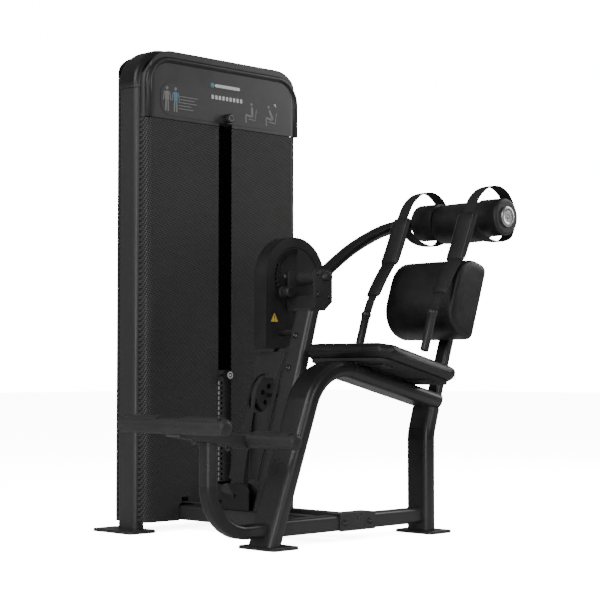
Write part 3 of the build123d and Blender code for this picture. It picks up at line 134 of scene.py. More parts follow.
def woven_sheet(name, base, pitch=0.0088):
    """Twill-look sheet: small slanted raised cells in staggered rows, on faces that look along Y, coloured
    with painted shade in the grooves and a painted highlight on the cells.
    """
    mat, tree, bsdf = new_material(name)
    coords = tree.nodes.new("ShaderNodeTexCoord").outputs["Object"]
    sep = tree.nodes.new("ShaderNodeSeparateXYZ")
    tree.links.new(coords, sep.inputs[0])
    x = math_node(tree, "DIVIDE", sep.outputs[0], pitch)
    z = math_node(tree, "DIVIDE", sep.outputs[2], pitch)
    u = math_node(tree, "ADD", x, z)
    v = math_node(tree, "SUBTRACT", x, z)
    su = math_node(tree, "SINE", math_node(tree, "MULTIPLY", u, math.pi))
    sv = math_node(tree, "SINE", math_node(tree, "MULTIPLY", v, math.pi * 2))
    cell = math_node(tree, "MULTIPLY", su, sv)
    height = ramp(tree, math_node(tree, "ADD", math_node(tree, "MULTIPLY", cell, 0.5), 0.5),
                  [(0.35, (0, 0, 0, 1)), (0.62, (1, 1, 1, 1))])
    # colour follows the relief: painted shade in the grooves and a painted highlight on the raised cells
    tone = ramp(tree, height.outputs[0], [(0.0, grey(base * 0.12)), (1.0, grey(base * 2.3))])
    blot = noise(tree, 3.0, 3.0)
    shade = ramp(tree, blot.outputs[0], [(0.3, grey(0.85)), (0.7, grey(1.1))])
    mult = tree.nodes.new("ShaderNodeMix")
    mult.data_type = "RGBA"
    mult.blend_type = "MULTIPLY"
    mult.inputs["Factor"].default_value = 1.0
    tree.links.new(tone.outputs[0], mult.inputs[6])
    tree.links.new(shade.outputs[0], mult.inputs[7])
    tree.links.new(mult.outputs[2], bsdf.inputs["Base Color"])
    rr = ramp(tree, height.outputs[0], [(0.0, grey(0.85)), (1.0, grey(0.34))])
    tree.links.new(rr.outputs[0], bsdf.inputs["Roughness"])
    bump(tree, bsdf, height.outputs[0], 0.8, 0.0012)
    return mat


def moulded(name, base, rough=0.5, grain=1400.0, strength=0.3):
    """Moulded plastic or rubber with a fine spark texture."""
    mat, tree, bsdf = new_material(name)
    tone = noise(tree, 9.0, 4.0)
    col = ramp(tree, tone.outputs[0], [(0.3, grey(base * 0.85)), (0.7, grey(base * 1.2))])
    tree.links.new(col.outputs[0], bsdf.inputs["Base Color"])
    vor = tree.nodes.new("ShaderNodeTexVoronoi")
    vor.inputs["Scale"].default_value = grain
    tree.links.new(tree.nodes.new("ShaderNodeTexCoord").outputs["Object"], vor.inputs["Vector"])
    r = ramp(tree, tone.outputs[0], [(0.3, grey(rough - 0.05)), (0.7, grey(rough + 0.06))])
    tree.links.new(r.outputs[0], bsdf.inputs["Roughness"])
    bump(tree, bsdf, vor.outputs["Distance"], strength, 0.0002)
    return mat


def vinyl(name, base=0.014, rough=0.42):
    """Black upholstery vinyl: pebble grain with soft creases."""
    mat, tree, bsdf = new_material(name)
    coords = tree.nodes.new("ShaderNodeTexCoord").outputs["Object"]
    tone = noise(tree, 12.0, 4.0, 0.5, coords)
    col = ramp(tree, tone.outputs[0], [(0.3, grey(base * 0.8)), (0.7, grey(base * 1.3, 0.0004))])
    tree.links.new(col.outputs[0], bsdf.inputs["Base Color"])
    vor = tree.nodes.new("ShaderNodeTexVoronoi")
    vor.feature = "DISTANCE_TO_EDGE"
    vor.inputs["Scale"].default_value = 650.0
    tree.links.new(coords, vor.inputs["Vector"])
    pebble = ramp(tree, vor.outputs[0], [(0.0, (0, 0, 0, 1)), (0.22, (1, 1, 1, 1))])
    crease = noise(tree, 38.0, 6.0, 0.62, coords)
    h = math_node(tree, "ADD", math_node(tree, "MULTIPLY", pebble.outputs[0], 0.35), crease.outputs[0])
    r = ramp(tree, tone.outputs[0], [(0.3, grey(rough - 0.06)), (0.7, grey(rough + 0.08))])
    tree.links.new(r.outputs[0], bsdf.inputs["Roughness"])
    bump(tree, bsdf, h, 0.3, 0.0009)
    bsdf.inputs["Specular IOR Level"].default_value = 0.45
    return mat


def webbing_material(name, base=0.02):
    """Woven strap: ribs across and a herringbone along the run, from the object's own coordinates."""
    mat, tree, bsdf = new_material(name)
    coords = tree.nodes.new("ShaderNodeTexCoord").outputs["Object"]
    sep = tree.nodes.new("ShaderNodeSeparateXYZ")
    tree.links.new(coords, sep.inputs[0])
    along = math_node(tree, "ADD", sep.outputs[0], sep.outputs[2])
    ribs = math_node(tree, "SINE", math_node(tree, "MULTIPLY", along, 3200.0))
    rows = math_node(tree, "SINE", math_node(tree, "MULTIPLY", sep.outputs[1], 3600.0))
    weave = math_node(tree, "MULTIPLY", math_node(tree, "ADD", ribs, rows), 0.3)
    col = ramp(tree, math_node(tree, "ADD", weave, 0.5), [(0.1, grey(base * 0.6)), (0.9, grey(base * 1.6))])
    tree.links.new(col.outputs[0], bsdf.inputs["Base Color"])
    bsdf.inputs["Roughness"].default_value = 0.82
    bump(tree, bsdf, weave, 0.6, 0.0005)
    return mat


def brushed(name, base, rough, metallic=1.0, stretch=(1, 60, 60)):
    mat, tree, bsdf = new_material(name)
    coords = tree.nodes.new("ShaderNodeTexCoord").outputs["Object"]
    mapping = tree.nodes.new("ShaderNodeMapping")
    mapping.inputs["Scale"].default_value = stretch
    tree.links.new(coords, mapping.inputs[0])
    n = noise(tree, 30.0, 4.0, 0.6, mapping.outputs[0])
    col = ramp(tree, n.outputs[0], [(0.3, grey(base * 0.85)), (0.7, grey(base * 1.1))])
    tree.links.new(col.outputs[0], bsdf.inputs["Base Color"])
    r = ramp(tree, n.outputs[0], [(0.3, grey(rough * 0.8)), (0.7, grey(rough * 1.3))])
    tree.links.new(r.outputs[0], bsdf.inputs["Roughness"])
    bsdf.inputs["Metallic"].default_value = metallic
    bump(tree, bsdf, n.outputs[0], 0.12, 0.0001)
    return mat


def print_material(name, colour, rough=0.5):
    mat, tree, bsdf = new_material(name)
    n = noise(tree, 40.0, 3.0)
    dark = tuple(c * 0.88 for c in colour[:3]) + (1,)
    col = ramp(tree, n.outputs[0], [(0.3, dark), (0.7, colour)])
    tree.links.new(col.outputs[0], bsdf.inputs["Base Color"])
    bsdf.inputs["Roughness"].default_value = rough
    return mat


PAINT = powder_coat("powder_black", 0.013, 0.36)
PAINT_SEAT = powder_coat("powder_black_seat", 0.012, 0.31)
WOVEN = woven_sheet("woven_shroud", 0.026)
HEADER = powder_coat("header_satin", 0.013, 0.36, 1200.0, 0.2)
COVER = moulded("moulded_cover", 0.021, 0.42)
PLATE = powder_coat("stack_paint", 0.017, 0.42)
RUBBER = moulded("rubber_black", 0.030, 0.55, 900.0, 0.35)
PULLEY = moulded("pulley_nylon", 0.028, 0.45)
VINYL = vinyl("vinyl_black", 0.014, 0.34)
VINYL_SOFT = vinyl("vinyl_strap", 0.016, 0.5)
WEB = webbing_material("webbing_black")
BELT = webbing_material("belt_black", 0.035)
CHROME = brushed("chrome_rod", 0.72, 0.10)
STEEL = brushed("brushed_steel", 0.55, 0.28)
DISC = brushed("silver_disc", 0.62, 0.25)
BRONZE = brushed("bronze_bush", 0.30, 0.35)
WOOD = moulded("board_black", 0.02, 0.7, 300.0, 0.5)
GRIP = moulded("grip_sleeve", 0.030, 0.34, 700.0, 0.15)
ZINC = brushed("dark_zinc", 0.09, 0.32)
WHITE = print_material("print_white", (0.75, 0.75, 0.75, 1))
PALE = print_material("print_grey", (0.22, 0.22, 0.22, 1))
TINT = print_material("placard_grey", (0.045, 0.045, 0.048, 1), 0.42)
BLUE = print_material("print_blue", (0.10, 0.26, 0.36, 1))
YELLOW = print_material("label_yellow", (0.85, 0.60, 0.05, 1), 0.45)

NODE_MATERIALS = {
    "tower_upright_left": PAINT, "tower_upright_right": PAINT, "tower_arch": PAINT, "tower_feet": PAINT,
    "tower_crossbar_lower": PAINT, "tower_crossbar_upper": PAINT,
    "front_shroud": WOVEN, "front_header": HEADER,
    "rear_shroud": WOVEN, "guide_rods": CHROME, "stack_bumpers": RUBBER, "weight_plates": PLATE,
    "head_plate": PLATE, "selector_stem": STEEL, "head_belt": BELT, "selector_pin": COVER,
    "addon_weight": PLATE, "addon_knob": COVER, "top_pulley_left": PULLEY, "top_pulley_right": PULLEY,
    "bottom_pulley": PULLEY, "base_pulley": PULLEY, "idler_pulley": PULLEY, "drive_belt": BELT,
    "seat_frame": PAINT_SEAT, "rear_column": PAINT_SEAT, "floor_beam": PAINT_SEAT, "cross_beam_main": PAINT,
    "cross_beam_foot": PAINT, "coupler_plate": PAINT_SEAT, "seat_feet": PAINT_SEAT, "foot_post": PAINT_SEAT,
    "footrest_bracket": PAINT_SEAT, "foot_bars": RUBBER, "foot_treads": RUBBER, "seat_bracket": PAINT_SEAT,
    "seat_board": WOOD, "back_support": PAINT_SEAT, "pivot_column": PAINT_SEAT, "belt_housing": PAINT_SEAT,
    "yoke": PAINT_SEAT, "pivot_bushes": BRONZE, "cam_cover": COVER,
    "base_bracket": PAINT, "frame_bolts": STEEL,
    "start_disc": PAINT_SEAT, "pull_knob": COVER, "arm": PAINT_SEAT, "pivot_shaft": STEEL, "cam": PULLEY,
    "roll_housing_far": COVER, "roll_housing_near": COVER, "end_disc": DISC, "grip_near": RUBBER,
    "grip_far": RUBBER, "seat_pad": VINYL, "back_pad": VINYL, "neck_pad": VINYL, "strap_near": WEB,
    "strap_far": WEB,
}
for node, mat in NODE_MATERIALS.items():
    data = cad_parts[node].data
    if not data.materials:
        data.materials.append(mat)
    for index in range(len(data.materials)):
        data.materials[index] = mat


# ---------------------------------------------------------------- mesh helpers
def make_object(name, bm, mat, body, smooth=True):
    mesh = bpy.data.meshes.new(name)
    bmesh.ops.recalc_face_normals(bm, faces=bm.faces)
    bm.to_mesh(mesh)
    bm.free()
    obj = bpy.data.objects.new(name, mesh)
    bpy.context.scene.collection.objects.link(obj)
    mesh.materials.append(mat)
    for p in mesh.polygons:
        p.use_smooth = smooth
    if body:
        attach(obj, body)
    return obj


def axis_frame(origin, z, x=(1, 0, 0)):
    """A matrix whose z axis is z and whose x axis is x made square to it."""
    z = Vector(z).normalized()
    x = Vector(x)
    x = (x - z * x.dot(z)).normalized()
    y = z.cross(x)
    m = Matrix((x, y, z)).transposed().to_4x4()
    m.translation = Vector(origin)
    return m


def lathe(name, profile, matrix, mat, body, steps=48):
    """Turn a profile of (radius, height) points about the local z axis."""
    bm = bmesh.new()
    rings = []
    for radius, height in profile:
        if radius < 1e-6:
            rings.append([bm.verts.new((0, 0, height))])
            continue
        ring = []
        for k in range(steps):
            a = 2 * math.pi * k / steps
            ring.append(bm.verts.new((radius * math.cos(a), radius * math.sin(a), height)))
        rings.append(ring)
    for lower, upper in zip(rings, rings[1:]):
        for k in range(steps):
            a, b = lower[k % len(lower)], lower[(k + 1) % len(lower)]
            c, d = upper[(k + 1) % len(upper)], upper[k % len(upper)]
            quad = [v for i, v in enumerate((a, b, c, d)) if v not in (a, b, c, d)[:i]]
            if len(quad) > 2:
                bm.faces.new(quad)
    bmesh.ops.transform(bm, matrix=matrix, verts=bm.verts)
    return make_object(name, bm, mat, body)


def smooth_path(points, per=8, closed=False):
    """A Catmull-Rom curve through the points."""
    pts = [Vector(p) for p in points]
    n = len(pts)
    out = []
    for i in range(n if closed else n - 1):
        p0 = pts[(i - 1) % n] if closed or i > 0 else pts[0]
        p1, p2 = pts[i], pts[(i + 1) % n]
        p3 = pts[(i + 2) % n] if closed or i + 2 < n else pts[-1]
        for k in range(per):
            t = k / per
            out.append(0.5 * ((2 * p1) + (p2 - p0) * t + (2 * p0 - 5 * p1 + 4 * p2 - p3) * t ** 2
                              + (3 * p1 - p0 - 3 * p2 + p3) * t ** 3))
    if not closed:
        out.append(pts[-1])
    return out


def ribbon(name, path, y, width, thickness, mat, body, closed=False, puffed=False, edge=0.35):
    """A strap along (x, z) points: a flat rounded section carried along the path, its width along Y."""
    pts = [Vector((p[0], 0, p[1])) for p in path]
    n = len(pts)
    bm = bmesh.new()
    rings = []
    for i, p in enumerate(pts):
        before = pts[(i - 1) % n] if closed or i else pts[0]
        after = pts[(i + 1) % n] if closed or i < n - 1 else pts[-1]
        along = (after - before).normalized()
        normal = Vector((-along.z, 0, along.x))
        t = i / (n - 1)
        swell = 1.0
        if puffed:
            swell = min(1.0, 0.42 + 0.9 * math.sin(math.pi * min(max(t, 0.0), 1.0)) ** 0.5)
        w, h = width / 2, thickness / 2 * swell
        if puffed:
            w *= min(1.0, 0.86 + 0.3 * math.sin(math.pi * t) ** 0.5)
        section = []
        count = 14 if puffed else 6
        for k in range(count + 1):
            s = -1 + 2 * k / count
            rim = (1 - abs(s) ** (3 if puffed else 8)) ** (0.6 if puffed else 0.5)
            section.append((s * w, h * max(rim, edge if 0 < k < count else 0.18)))
        ring = [bm.verts.new((p + normal * hh).to_tuple()[0:1] + (y + yy,) + ((p + normal * hh).z,))
                for yy, hh in section]
        ring += [bm.verts.new(((p - normal * hh).x, y + yy, (p - normal * hh).z))
                 for yy, hh in reversed(section)]
        rings.append(ring)
    m = len(rings[0])
    for i in range(n if closed else n - 1):
        a, b = rings[i], rings[(i + 1) % n]
        for k in range(m):
            bm.faces.new((a[k], a[(k + 1) % m], b[(k + 1) % m], b[k]))
    if not closed:
        bm.faces.new(list(reversed(rings[0])))
        bm.faces.new(rings[-1])
    return make_object(name, bm, mat, body)


def tube(name, path, radius, mat, body, closed=False, sides=8):
    """A thin round tube along a 3-D path, for piping and stitching."""
    pts = [Vector(p) for p in path]
    n = len(pts)
    bm = bmesh.new()
    rings = []
    for i, p in enumerate(pts):
        following = (i + 1) % n if closed else min(i + 1, n - 1)
        leading = (i - 1) % n if closed else max(i - 1, 0)
        along = (pts[following] - pts[leading]).normalized()
        ref = Vector((0, 1, 0)) if abs(along.y) < 0.9 else Vector((1, 0, 0))
        u = along.cross(ref).normalized()
        v = along.cross(u)
        turns = [2 * math.pi * k / sides for k in range(sides)]
        rings.append([bm.verts.new(p + (u * math.cos(a) + v * math.sin(a)) * radius) for a in turns])
    for i in range(n if closed else n - 1):
        near, far = rings[i], rings[(i + 1) % n]
        for k in range(sides):
            bm.faces.new((near[k], near[(k + 1) % sides], far[(k + 1) % sides], far[k]))
    if not closed:
        bm.faces.new(list(reversed(rings[0])))
        bm.faces.new(rings[-1])
    return make_object(name, bm, mat, body)


def loft_sections(bm, sections):
    """Skin closed rings of equal length, capping the first and last."""
    rings = [[bm.verts.new(p) for p in ring] for ring in sections]
    m = len(rings[0])
    for a, b in zip(rings, rings[1:]):
        for k in range(m):
            bm.faces.new((a[k], a[(k + 1) % m], b[(k + 1) % m], b[k]))
    bm.faces.new(list(reversed(rings[0])))
    bm.faces.new(rings[-1])


def puff(obj, matrix, pinned, voxel, pressure, cap):
    """Swell a closed form as stuffed fabric: remesh, cloth under pressure, capped, then one subdivision."""
    bpy.context.view_layer.objects.active = obj
    remesh = obj.modifiers.new("remesh", "REMESH")
    remesh.mode = "VOXEL"
    remesh.voxel_size = voxel
    apply_modifiers(obj)
    rest = [v.co.copy() for v in obj.data.vertices]
    inverse = matrix.inverted()
    group = obj.vertex_groups.new(name="pin")
    group.add([i for i, co in enumerate(rest) if pinned(inverse @ co)], 1.0, "REPLACE")
    cloth = obj.modifiers.new("cloth", "CLOTH")
    s = cloth.settings
    s.quality = 6
    s.mass = 0.3
    s.tension_stiffness = 12
    s.compression_stiffness = 12
    s.shear_stiffness = 4
    s.bending_stiffness = 0.6
    s.use_pressure = True
    s.uniform_pressure_force = pressure
    s.effector_weights.gravity = 0
    s.vertex_group_mass = "pin"
    cloth.collision_settings.use_collision = False
    scene = bpy.context.scene
    for f in range(1, 21):
        scene.frame_set(f)
    dg = bpy.context.evaluated_depsgraph_get()
    moved = [v.co.copy() for v in obj.evaluated_get(dg).data.vertices]
    obj.modifiers.remove(cloth)
    scene.frame_set(1)
    for v, was, now in zip(obj.data.vertices, rest, moved):
        step = now - was
        if step.length > cap:
            step *= cap / step.length
        v.co = was + step
    smooth = obj.modifiers.new("smooth", "SMOOTH")
    smooth.factor = 0.5
    smooth.iterations = 3
    sub = obj.modifiers.new("sub", "SUBSURF")
    sub.levels = 1
    sub.render_levels = 1
    apply_modifiers(obj)
    for p in obj.data.polygons:
        p.use_smooth = True


def apply_modifiers(obj):
    dg = bpy.context.evaluated_depsgraph_get()
    mesh = bpy.data.meshes.new_from_object(obj.evaluated_get(dg))
    obj.modifiers.clear()
    old = obj.data
    obj.data = mesh
    bpy.data.meshes.remove(old)


# ---------------------------------------------------------------- camera, floor and lights
camera = bpy.data.cameras.new("camera")
camera.lens = 96.0
camera.sensor_width = 36.0
camera_object = bpy.data.objects.new("camera", camera)
bpy.context.scene.collection.objects.link(camera_object)
heading, pitch = math.radians(44.9), math.radians(2.55)
look = Vector((math.cos(heading) * math.cos(pitch), math.sin(heading) * math.cos(pitch), math.sin(pitch)))
camera_object.location = (-3.390 + X0, -4.151 + Y0, 0.535)
camera_object.rotation_mode = "QUATERNION"
camera_object.rotation_quaternion = look.to_track_quat("-Z", "Y")
bpy.context.scene.camera = camera_object

# the white studio: how bright backdrop and floor are to the camera, and what they add as light
BACKDROP_SEEN, FLOOR_SEEN, FLOOR_GAIN, AMBIENT = 16.0, 7.0, 34.0, 0.17
floor_bm = bmesh.new()
bmesh.ops.create_grid(floor_bm, x_segments=2, y_segments=2, size=30.0)
floor_mat, floor_tree, floor_bsdf = new_material("studio_floor")
floor_tone = noise(floor_tree, 0.6, 2.0)
floor_col = ramp(floor_tree, floor_tone.outputs[0], [(0.3, grey(0.90)), (0.7, grey(0.93))])
floor_bsdf.inputs["Roughness"].default_value = 0.6
floor_bsdf.inputs["Emission Color"].default_value = (1, 1, 1, 1)
floor_seen = floor_tree.nodes.new("ShaderNodeLightPath").outputs["Is Camera Ray"]
floor_glow = math_node(floor_tree, "MULTIPLY", floor_seen, FLOOR_SEEN)
floor_tree.links.new(floor_glow, floor_bsdf.inputs["Emission Strength"])
floor_lift = floor_tree.nodes.new("ShaderNodeVectorMath")
floor_lift.operation = "SCALE"
floor_tree.links.new(floor_col.outputs[0], floor_lift.inputs[0])
floor_gain = math_node(floor_tree, "ADD", math_node(floor_tree, "MULTIPLY", floor_seen, FLOOR_GAIN), 1.0)
floor_tree.links.new(floor_gain, floor_lift.inputs["Scale"])
floor_tree.links.new(floor_lift.outputs[0], floor_bsdf.inputs["Base Color"])
floor_obj = make_object("floor", floor_bm, floor_mat, None, smooth=False)
floor_obj.location.z = -0.0002

world = bpy.data.worlds.new("world")
bpy.context.scene.world = world
world.use_nodes = True
backdrop = world.node_tree.nodes["Background"]
backdrop.inputs[0].default_value = (1, 1, 1, 1)
seen = world.node_tree.nodes.new("ShaderNodeLightPath").outputs["Is Camera Ray"]
backdrop_glow = math_node(world.node_tree, "MULTIPLY", seen, BACKDROP_SEEN)
world.node_tree.links.new(math_node(world.node_tree, "ADD", backdrop_glow, AMBIENT), backdrop.inputs[1])


def area_light(name, location, target, size, power):
    data = bpy.data.lights.new(name, "AREA")
    data.shape = "RECTANGLE"
    data.size, data.size_y = size
    data.energy = power
    obj = bpy.data.objects.new(name, data)
    bpy.context.scene.collection.objects.link(obj)
    obj.location = location
    obj.rotation_mode = "QUATERNION"
    obj.rotation_quaternion = (Vector(target) - Vector(location)).to_track_quat("-Z", "Y")
    return obj


area_light("key", (-3.6, 0.4, 3.2), (0, 0, 0.8), (2.2, 2.2), 60)
area_light("front", (-1.0, -4.6, 2.6), (0.1, 0, 0.8), (2.2, 1.4), 40)
area_light("rim", (3.4, -1.6, 2.6), (0.1, 0, 0.8), (1.2, 2.6), 48)
area_light("edge", (-3.4, -1.9, 1.1), (-0.1, -0.2, 0.6), (0.4, 2.4), 40)

# ---------------------------------------------------------------- seat pad
BEAM_TILT = math.radians(13.5)
beam_along = Vector((math.cos(BEAM_TILT), 0, -math.sin(BEAM_TILT)))
beam_normal = Vector((math.sin(BEAM_TILT), 0, math.cos(BEAM_TILT)))
station = Vector((X0 + 0.283 + 0.1925 * math.cos(BEAM_TILT), SEAT_Y, 0))
station.z = 0.569 - (station.x - (X0 + 0.174)) * math.tan(BEAM_TILT)
seat_base = station + beam_normal * 0.0414
seat_matrix = axis_frame(seat_base, beam_normal, beam_along)


def chamfered(length, width, cut, shrink, height):
    a, b, c = length / 2 - shrink, width / 2 - shrink, cut * (1 - shrink * 4)
    outline = [(-a, -b + c), (-a, b - c), (-a + c, b), (a - c, b),
               (a, b - c), (a, -b + c), (a - c, -b), (-a + c, -b)]
    ring = []
    for (x0, y0), (x1, y1) in zip(outline, outline[1:] + outline[:1]):
        for k in range(4):
            ring.append((x0 + (x1 - x0) * k / 4, y0 + (y1 - y0) * k / 4, height))
    return ring


def seat_section(shrink, height):
    return [seat_matrix @ Vector(p) for p in chamfered(0.385, 0.390, 0.034, shrink, height)]


bm = bmesh.new()
loft_sections(bm, [seat_section(0.020, 0.0005), seat_section(0.007, 0.014), seat_section(0.005, 0.020),
                   seat_section(0.005, 0.036), seat_section(0.012, 0.0455)])
seat_pad = make_object("seat_cushion", bm, VINYL, None)
puff(seat_pad, seat_matrix, lambda p: p.z < 0.010, 0.0055, 1.2, 0.0035)
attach(seat_pad, "frame")
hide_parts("seat_pad")
seam = [seat_matrix @ Vector(p) for p in chamfered(0.385, 0.390, 0.034, 0.0052, 0.0175)]
tube("seat_seam", seam, 0.0012, VINYL, "frame", closed=True)

# ---------------------------------------------------------------- back pad
LEAN = math.radians(19.0)
back_x = Vector((math.cos(LEAN), 0, -math.sin(LEAN)))
back_matrix = axis_frame((X0 + 0.8165, SEAT_Y, 0.765), (0, -1, 0), back_x)


def d_profile(inset):
    """The back pad's D, flat side at x = 0, drawn anticlockwise in the plane's own x and y."""
    depth, low, high = 0.143 - inset, -0.143 + inset, 0.131 - inset
    pts = []
    for cx, cy, r, start in ((-depth + 0.092, low + 0.092, 0.092, 180), (-0.020, low + 0.020, 0.020, 270),
                             (-0.020, high - 0.020, 0.020, 0), (-depth + 0.092, high - 0.092, 0.092, 90)):
        for k in range(9):
            a = math.radians(start + 90 * k / 8)
            pts.append((cx + r * math.cos(a), cy + r * math.sin(a)))
    return pts


def back_section(inset, y):
    return [back_matrix @ Vector((px, py, y)) for px, py in d_profile(inset)]


bm = bmesh.new()
loft_sections(bm, [back_section(0.022, -0.149), back_section(0.009, -0.146), back_section(0.004, -0.138),
                   back_section(0.003, 0.0), back_section(0.004, 0.138), back_section(0.009, 0.146),
                   back_section(0.022, 0.149)])
back_pad = make_object("back_cushion", bm, VINYL, None)
puff(back_pad, back_matrix, lambda p: p.x > -0.008 or abs(p.z) > 0.140, 0.0055, 1.5, 0.0035)
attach(back_pad, "frame")
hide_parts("back_pad")
# ---------------------------------------------------------------- neck pad on the roll
neck_middle = Vector((ROLL.x, Y0 - 0.660, ROLL.z - 0.010))
neck_matrix = axis_frame(neck_middle, (0, -1, 0), (1, 0, 0))
bm = bmesh.new()
neck_rings = []
neck_half = ((0.094, 0.050), (0.0925, 0.062), (0.086, 0.068), (0.05, 0.0695))
for y, r in [(-y, r) for y, r in neck_half] + [(0.0, 0.070)] + list(reversed(neck_half)):
    neck_rings.append([neck_matrix @ Vector((r * math.cos(2 * math.pi * k / 40),
                                             r * math.sin(2 * math.pi * k / 40), y)) for k in range(40)])
loft_sections(bm, neck_rings)
neck_pad = make_object("neck_cushion", bm, VINYL, None)
puff(neck_pad, neck_matrix, lambda p: abs(p.z) > 0.093, 0.005, 4.0, 0.005)
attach(neck_pad, "arm")
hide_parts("neck_pad")

# ---------------------------------------------------------------- straps and grips
LOOP = ((-0.158, -0.006), (-0.134, 0.040), (-0.113, 0.066), (-0.075, 0.092), (-0.028, 0.104), (0.010, 0.098),
        (0.042, 0.078), (0.066, 0.044), (0.074, 0.0), (0.066, -0.040), (0.050, -0.066), (0.022, -0.079),
        (-0.013, -0.083), (-0.050, -0.080), (-0.083, -0.071), (-0.115, -0.054), (-0.138, -0.034),
        (-0.152, -0.016))
SLEEVE_UPPER = ((-0.153, 0.004), (-0.224, -0.158))
SLEEVE_LOWER = ((-0.222, -0.152), (-0.306, -0.268))


def around_roll(points):
    return [(ROLL.x + x, ROLL.z + z) for x, z in points]


def straight_path(a, b, bow, count=18):
    """Points from a to b with a slight bow to one side."""
    a, b = Vector((*a, 0)), Vector((*b, 0))
    side = Vector((-(b - a).y, (b - a).x, 0)).normalized()
    return [(p.x, p.y) for p in ((a + (b - a) * (k / count)) + side * bow * math.sin(math.pi * k / count)
                                 for k in range(count + 1))]


for label, y in (("near", SEAT_Y - 0.145), ("far", SEAT_Y + 0.145)):
    body = f"strap_{label}"
    loop_path = [(p.x, p.z) for p in smooth_path([(x, 0, z) for x, z in around_roll(LOOP)], 5, closed=True)]
    loop = ribbon(f"strap_loop_{label}", loop_path, y, 0.048, 0.0032, WEB, body, closed=True)
    upper = ribbon(f"strap_sleeve_{label}", straight_path(*around_roll(SLEEVE_UPPER), 0.003),
                   y, 0.078, 0.024, VINYL_SOFT, body, puffed=True)
    lower = ribbon(f"strap_lower_{label}", straight_path(*around_roll(SLEEVE_LOWER), -0.003),
                   y, 0.060, 0.017, VINYL_SOFT, body, puffed=True)
    link = ribbon(f"strap_link_{label}", around_roll(((-0.300, -0.258), (-0.318, -0.288), (-0.336, -0.3255))),
                  y, 0.038, 0.005, WEB, body)
    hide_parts(f"strap_{label}")
    # stitched edges of the sleeves: two rows of small stitches on the face towards the user
    bm = bmesh.new()
    start, end = around_roll(SLEEVE_UPPER)
    a, b = Vector((start[0], 0, start[1])), Vector((end[0], 0, end[1]))
    along = (b - a).normalized()
    out = Vector((along.z, 0, -along.x))
    if out.x > 0:
        out = -out
    for row in (-0.031, 0.031):
        for k in range(26):
            p = a + (b - a) * (0.06 + 0.88 * k / 25) + out * 0.0098
            m = axis_frame(p + Vector((0, y + row, 0)), out, along)
            made = bmesh.ops.create_cube(bm, size=1.0)["verts"]
            bmesh.ops.scale(bm, vec=(0.0038, 0.0009, 0.0012), verts=made)
            bmesh.ops.transform(bm, matrix=m, verts=made)
    make_object(f"strap_stitches_{label}", bm, PALE, body)

    top = Vector((ROLL.x - 0.337, y, ROLL.z - 0.326))
    bottom = Vector((ROLL.x - 0.380, y, ROLL.z - 0.455))
    length = (top - bottom).length
    profile = [(0.0, 0.0), (0.0125, 0.0), (0.0135, 0.0015), (0.0135, 0.006)]
    profile += [(0.0142, 0.008), (0.0142, length - 0.012), (0.0164, length - 0.011), (0.0168, length - 0.009),
                (0.0168, length - 0.002), (0.0160, length), (0.0, length)]
    grip = lathe(f"tube_grip_{label}", profile, axis_frame(bottom, top - bottom), GRIP, body)
    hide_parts(f"grip_{label}")

# ---------------------------------------------------------------- header placard with generic marks
HEADER_FRONT = Y0 - 0.0395


def slab(name, outline, thickness, mat, front=HEADER_FRONT):
    """A thin flat plate standing on the header: outline in (x, z) from the tower's left face."""
    bm = bmesh.new()
    verts = [bm.verts.new((X0 + x, front, z)) for x, z in outline]
    face = bm.faces.new(verts)
    made = bmesh.ops.extrude_face_region(bm, geom=[face])
    front_verts = [g for g in made["geom"] if isinstance(g, bmesh.types.BMVert)]
    bmesh.ops.translate(bm, vec=(0, -thickness, 0), verts=front_verts)
    return make_object(name, bm, mat, "frame", smooth=False)


def round_rect(x0, z0, x1, z1, r, steps=8):
    pts = []
    corners = ((x1 - r, z1 - r), (x0 + r, z1 - r), (x0 + r, z0 + r), (x1 - r, z0 + r))
    for start, (cx, cz) in zip((0, 90, 180, 270), corners):
        for k in range(steps + 1):
            a = math.radians(start + 90 * k / steps)
            pts.append((cx + r * math.cos(a), cz + r * math.sin(a)))
    return pts


def capsule(ax, az, bx, bz, r, steps=5):
    """The outline of a rounded bar from a to b."""
    direction = math.atan2(bz - az, bx - ax)
    pts = []
    for cx, cz, start in ((bx, bz, direction - math.pi / 2), (ax, az, direction + math.pi / 2)):
        for k in range(steps + 1):
            a = start + math.pi * k / steps
            pts.append((cx + r * math.cos(a), cz + r * math.sin(a)))
    return pts


def disc(cx, cz, r, steps=20):
    return [(cx + r * math.cos(2 * math.pi * k / steps), cz + r * math.sin(2 * math.pi * k / steps))
            for k in range(steps)]


# a raised moulding that runs up one side of the header, over the top and down the other
MOULDING_SIDE, MOULDING_TOP, MOULDING_FOOT = 0.0225, 1.589, 1.388
MOULDING_BEND, MOULDING_RADIUS = 0.087, 0.0125
TOWER_WIDTH = 0.735
moulding = []
for cx, start in ((TOWER_WIDTH - MOULDING_SIDE - MOULDING_BEND, 0), (MOULDING_SIDE + MOULDING_BEND, 90)):
    for k in range(13):
        a = math.radians(start + 90 * k / 12)
        moulding.append((X0 + cx + MOULDING_BEND * math.cos(a), HEADER_FRONT + 0.0065,
                         MOULDING_TOP - MOULDING_BEND + MOULDING_BEND * math.sin(a)))
right_foot, left_foot = ((x, y, MOULDING_FOOT) for x, y, z in (moulding[0], moulding[-1]))
moulding = [right_foot] + moulding + [left_foot]
tube("header_moulding", moulding, MOULDING_RADIUS, HEADER, "frame", sides=20)
slab("placard", round_rect(0.070, 1.400, 0.665, 1.512, 0.045), 0.0014, TINT)
PRINT = HEADER_FRONT - 0.0014
marks = [("brand_mark", disc(0.305, 1.528, 0.0085), BLUE, HEADER_FRONT),
         ("brand_bar", capsule(0.322, 1.528, 0.430, 1.528, 0.0055), WHITE, HEADER_FRONT)]
for index in range(9):
    x = 0.300 + index * 0.0168
    marks.append((f"title_block_{index}", round_rect(x, 1.480, x + 0.0105, 1.494, 0.0016, 3), WHITE, PRINT))
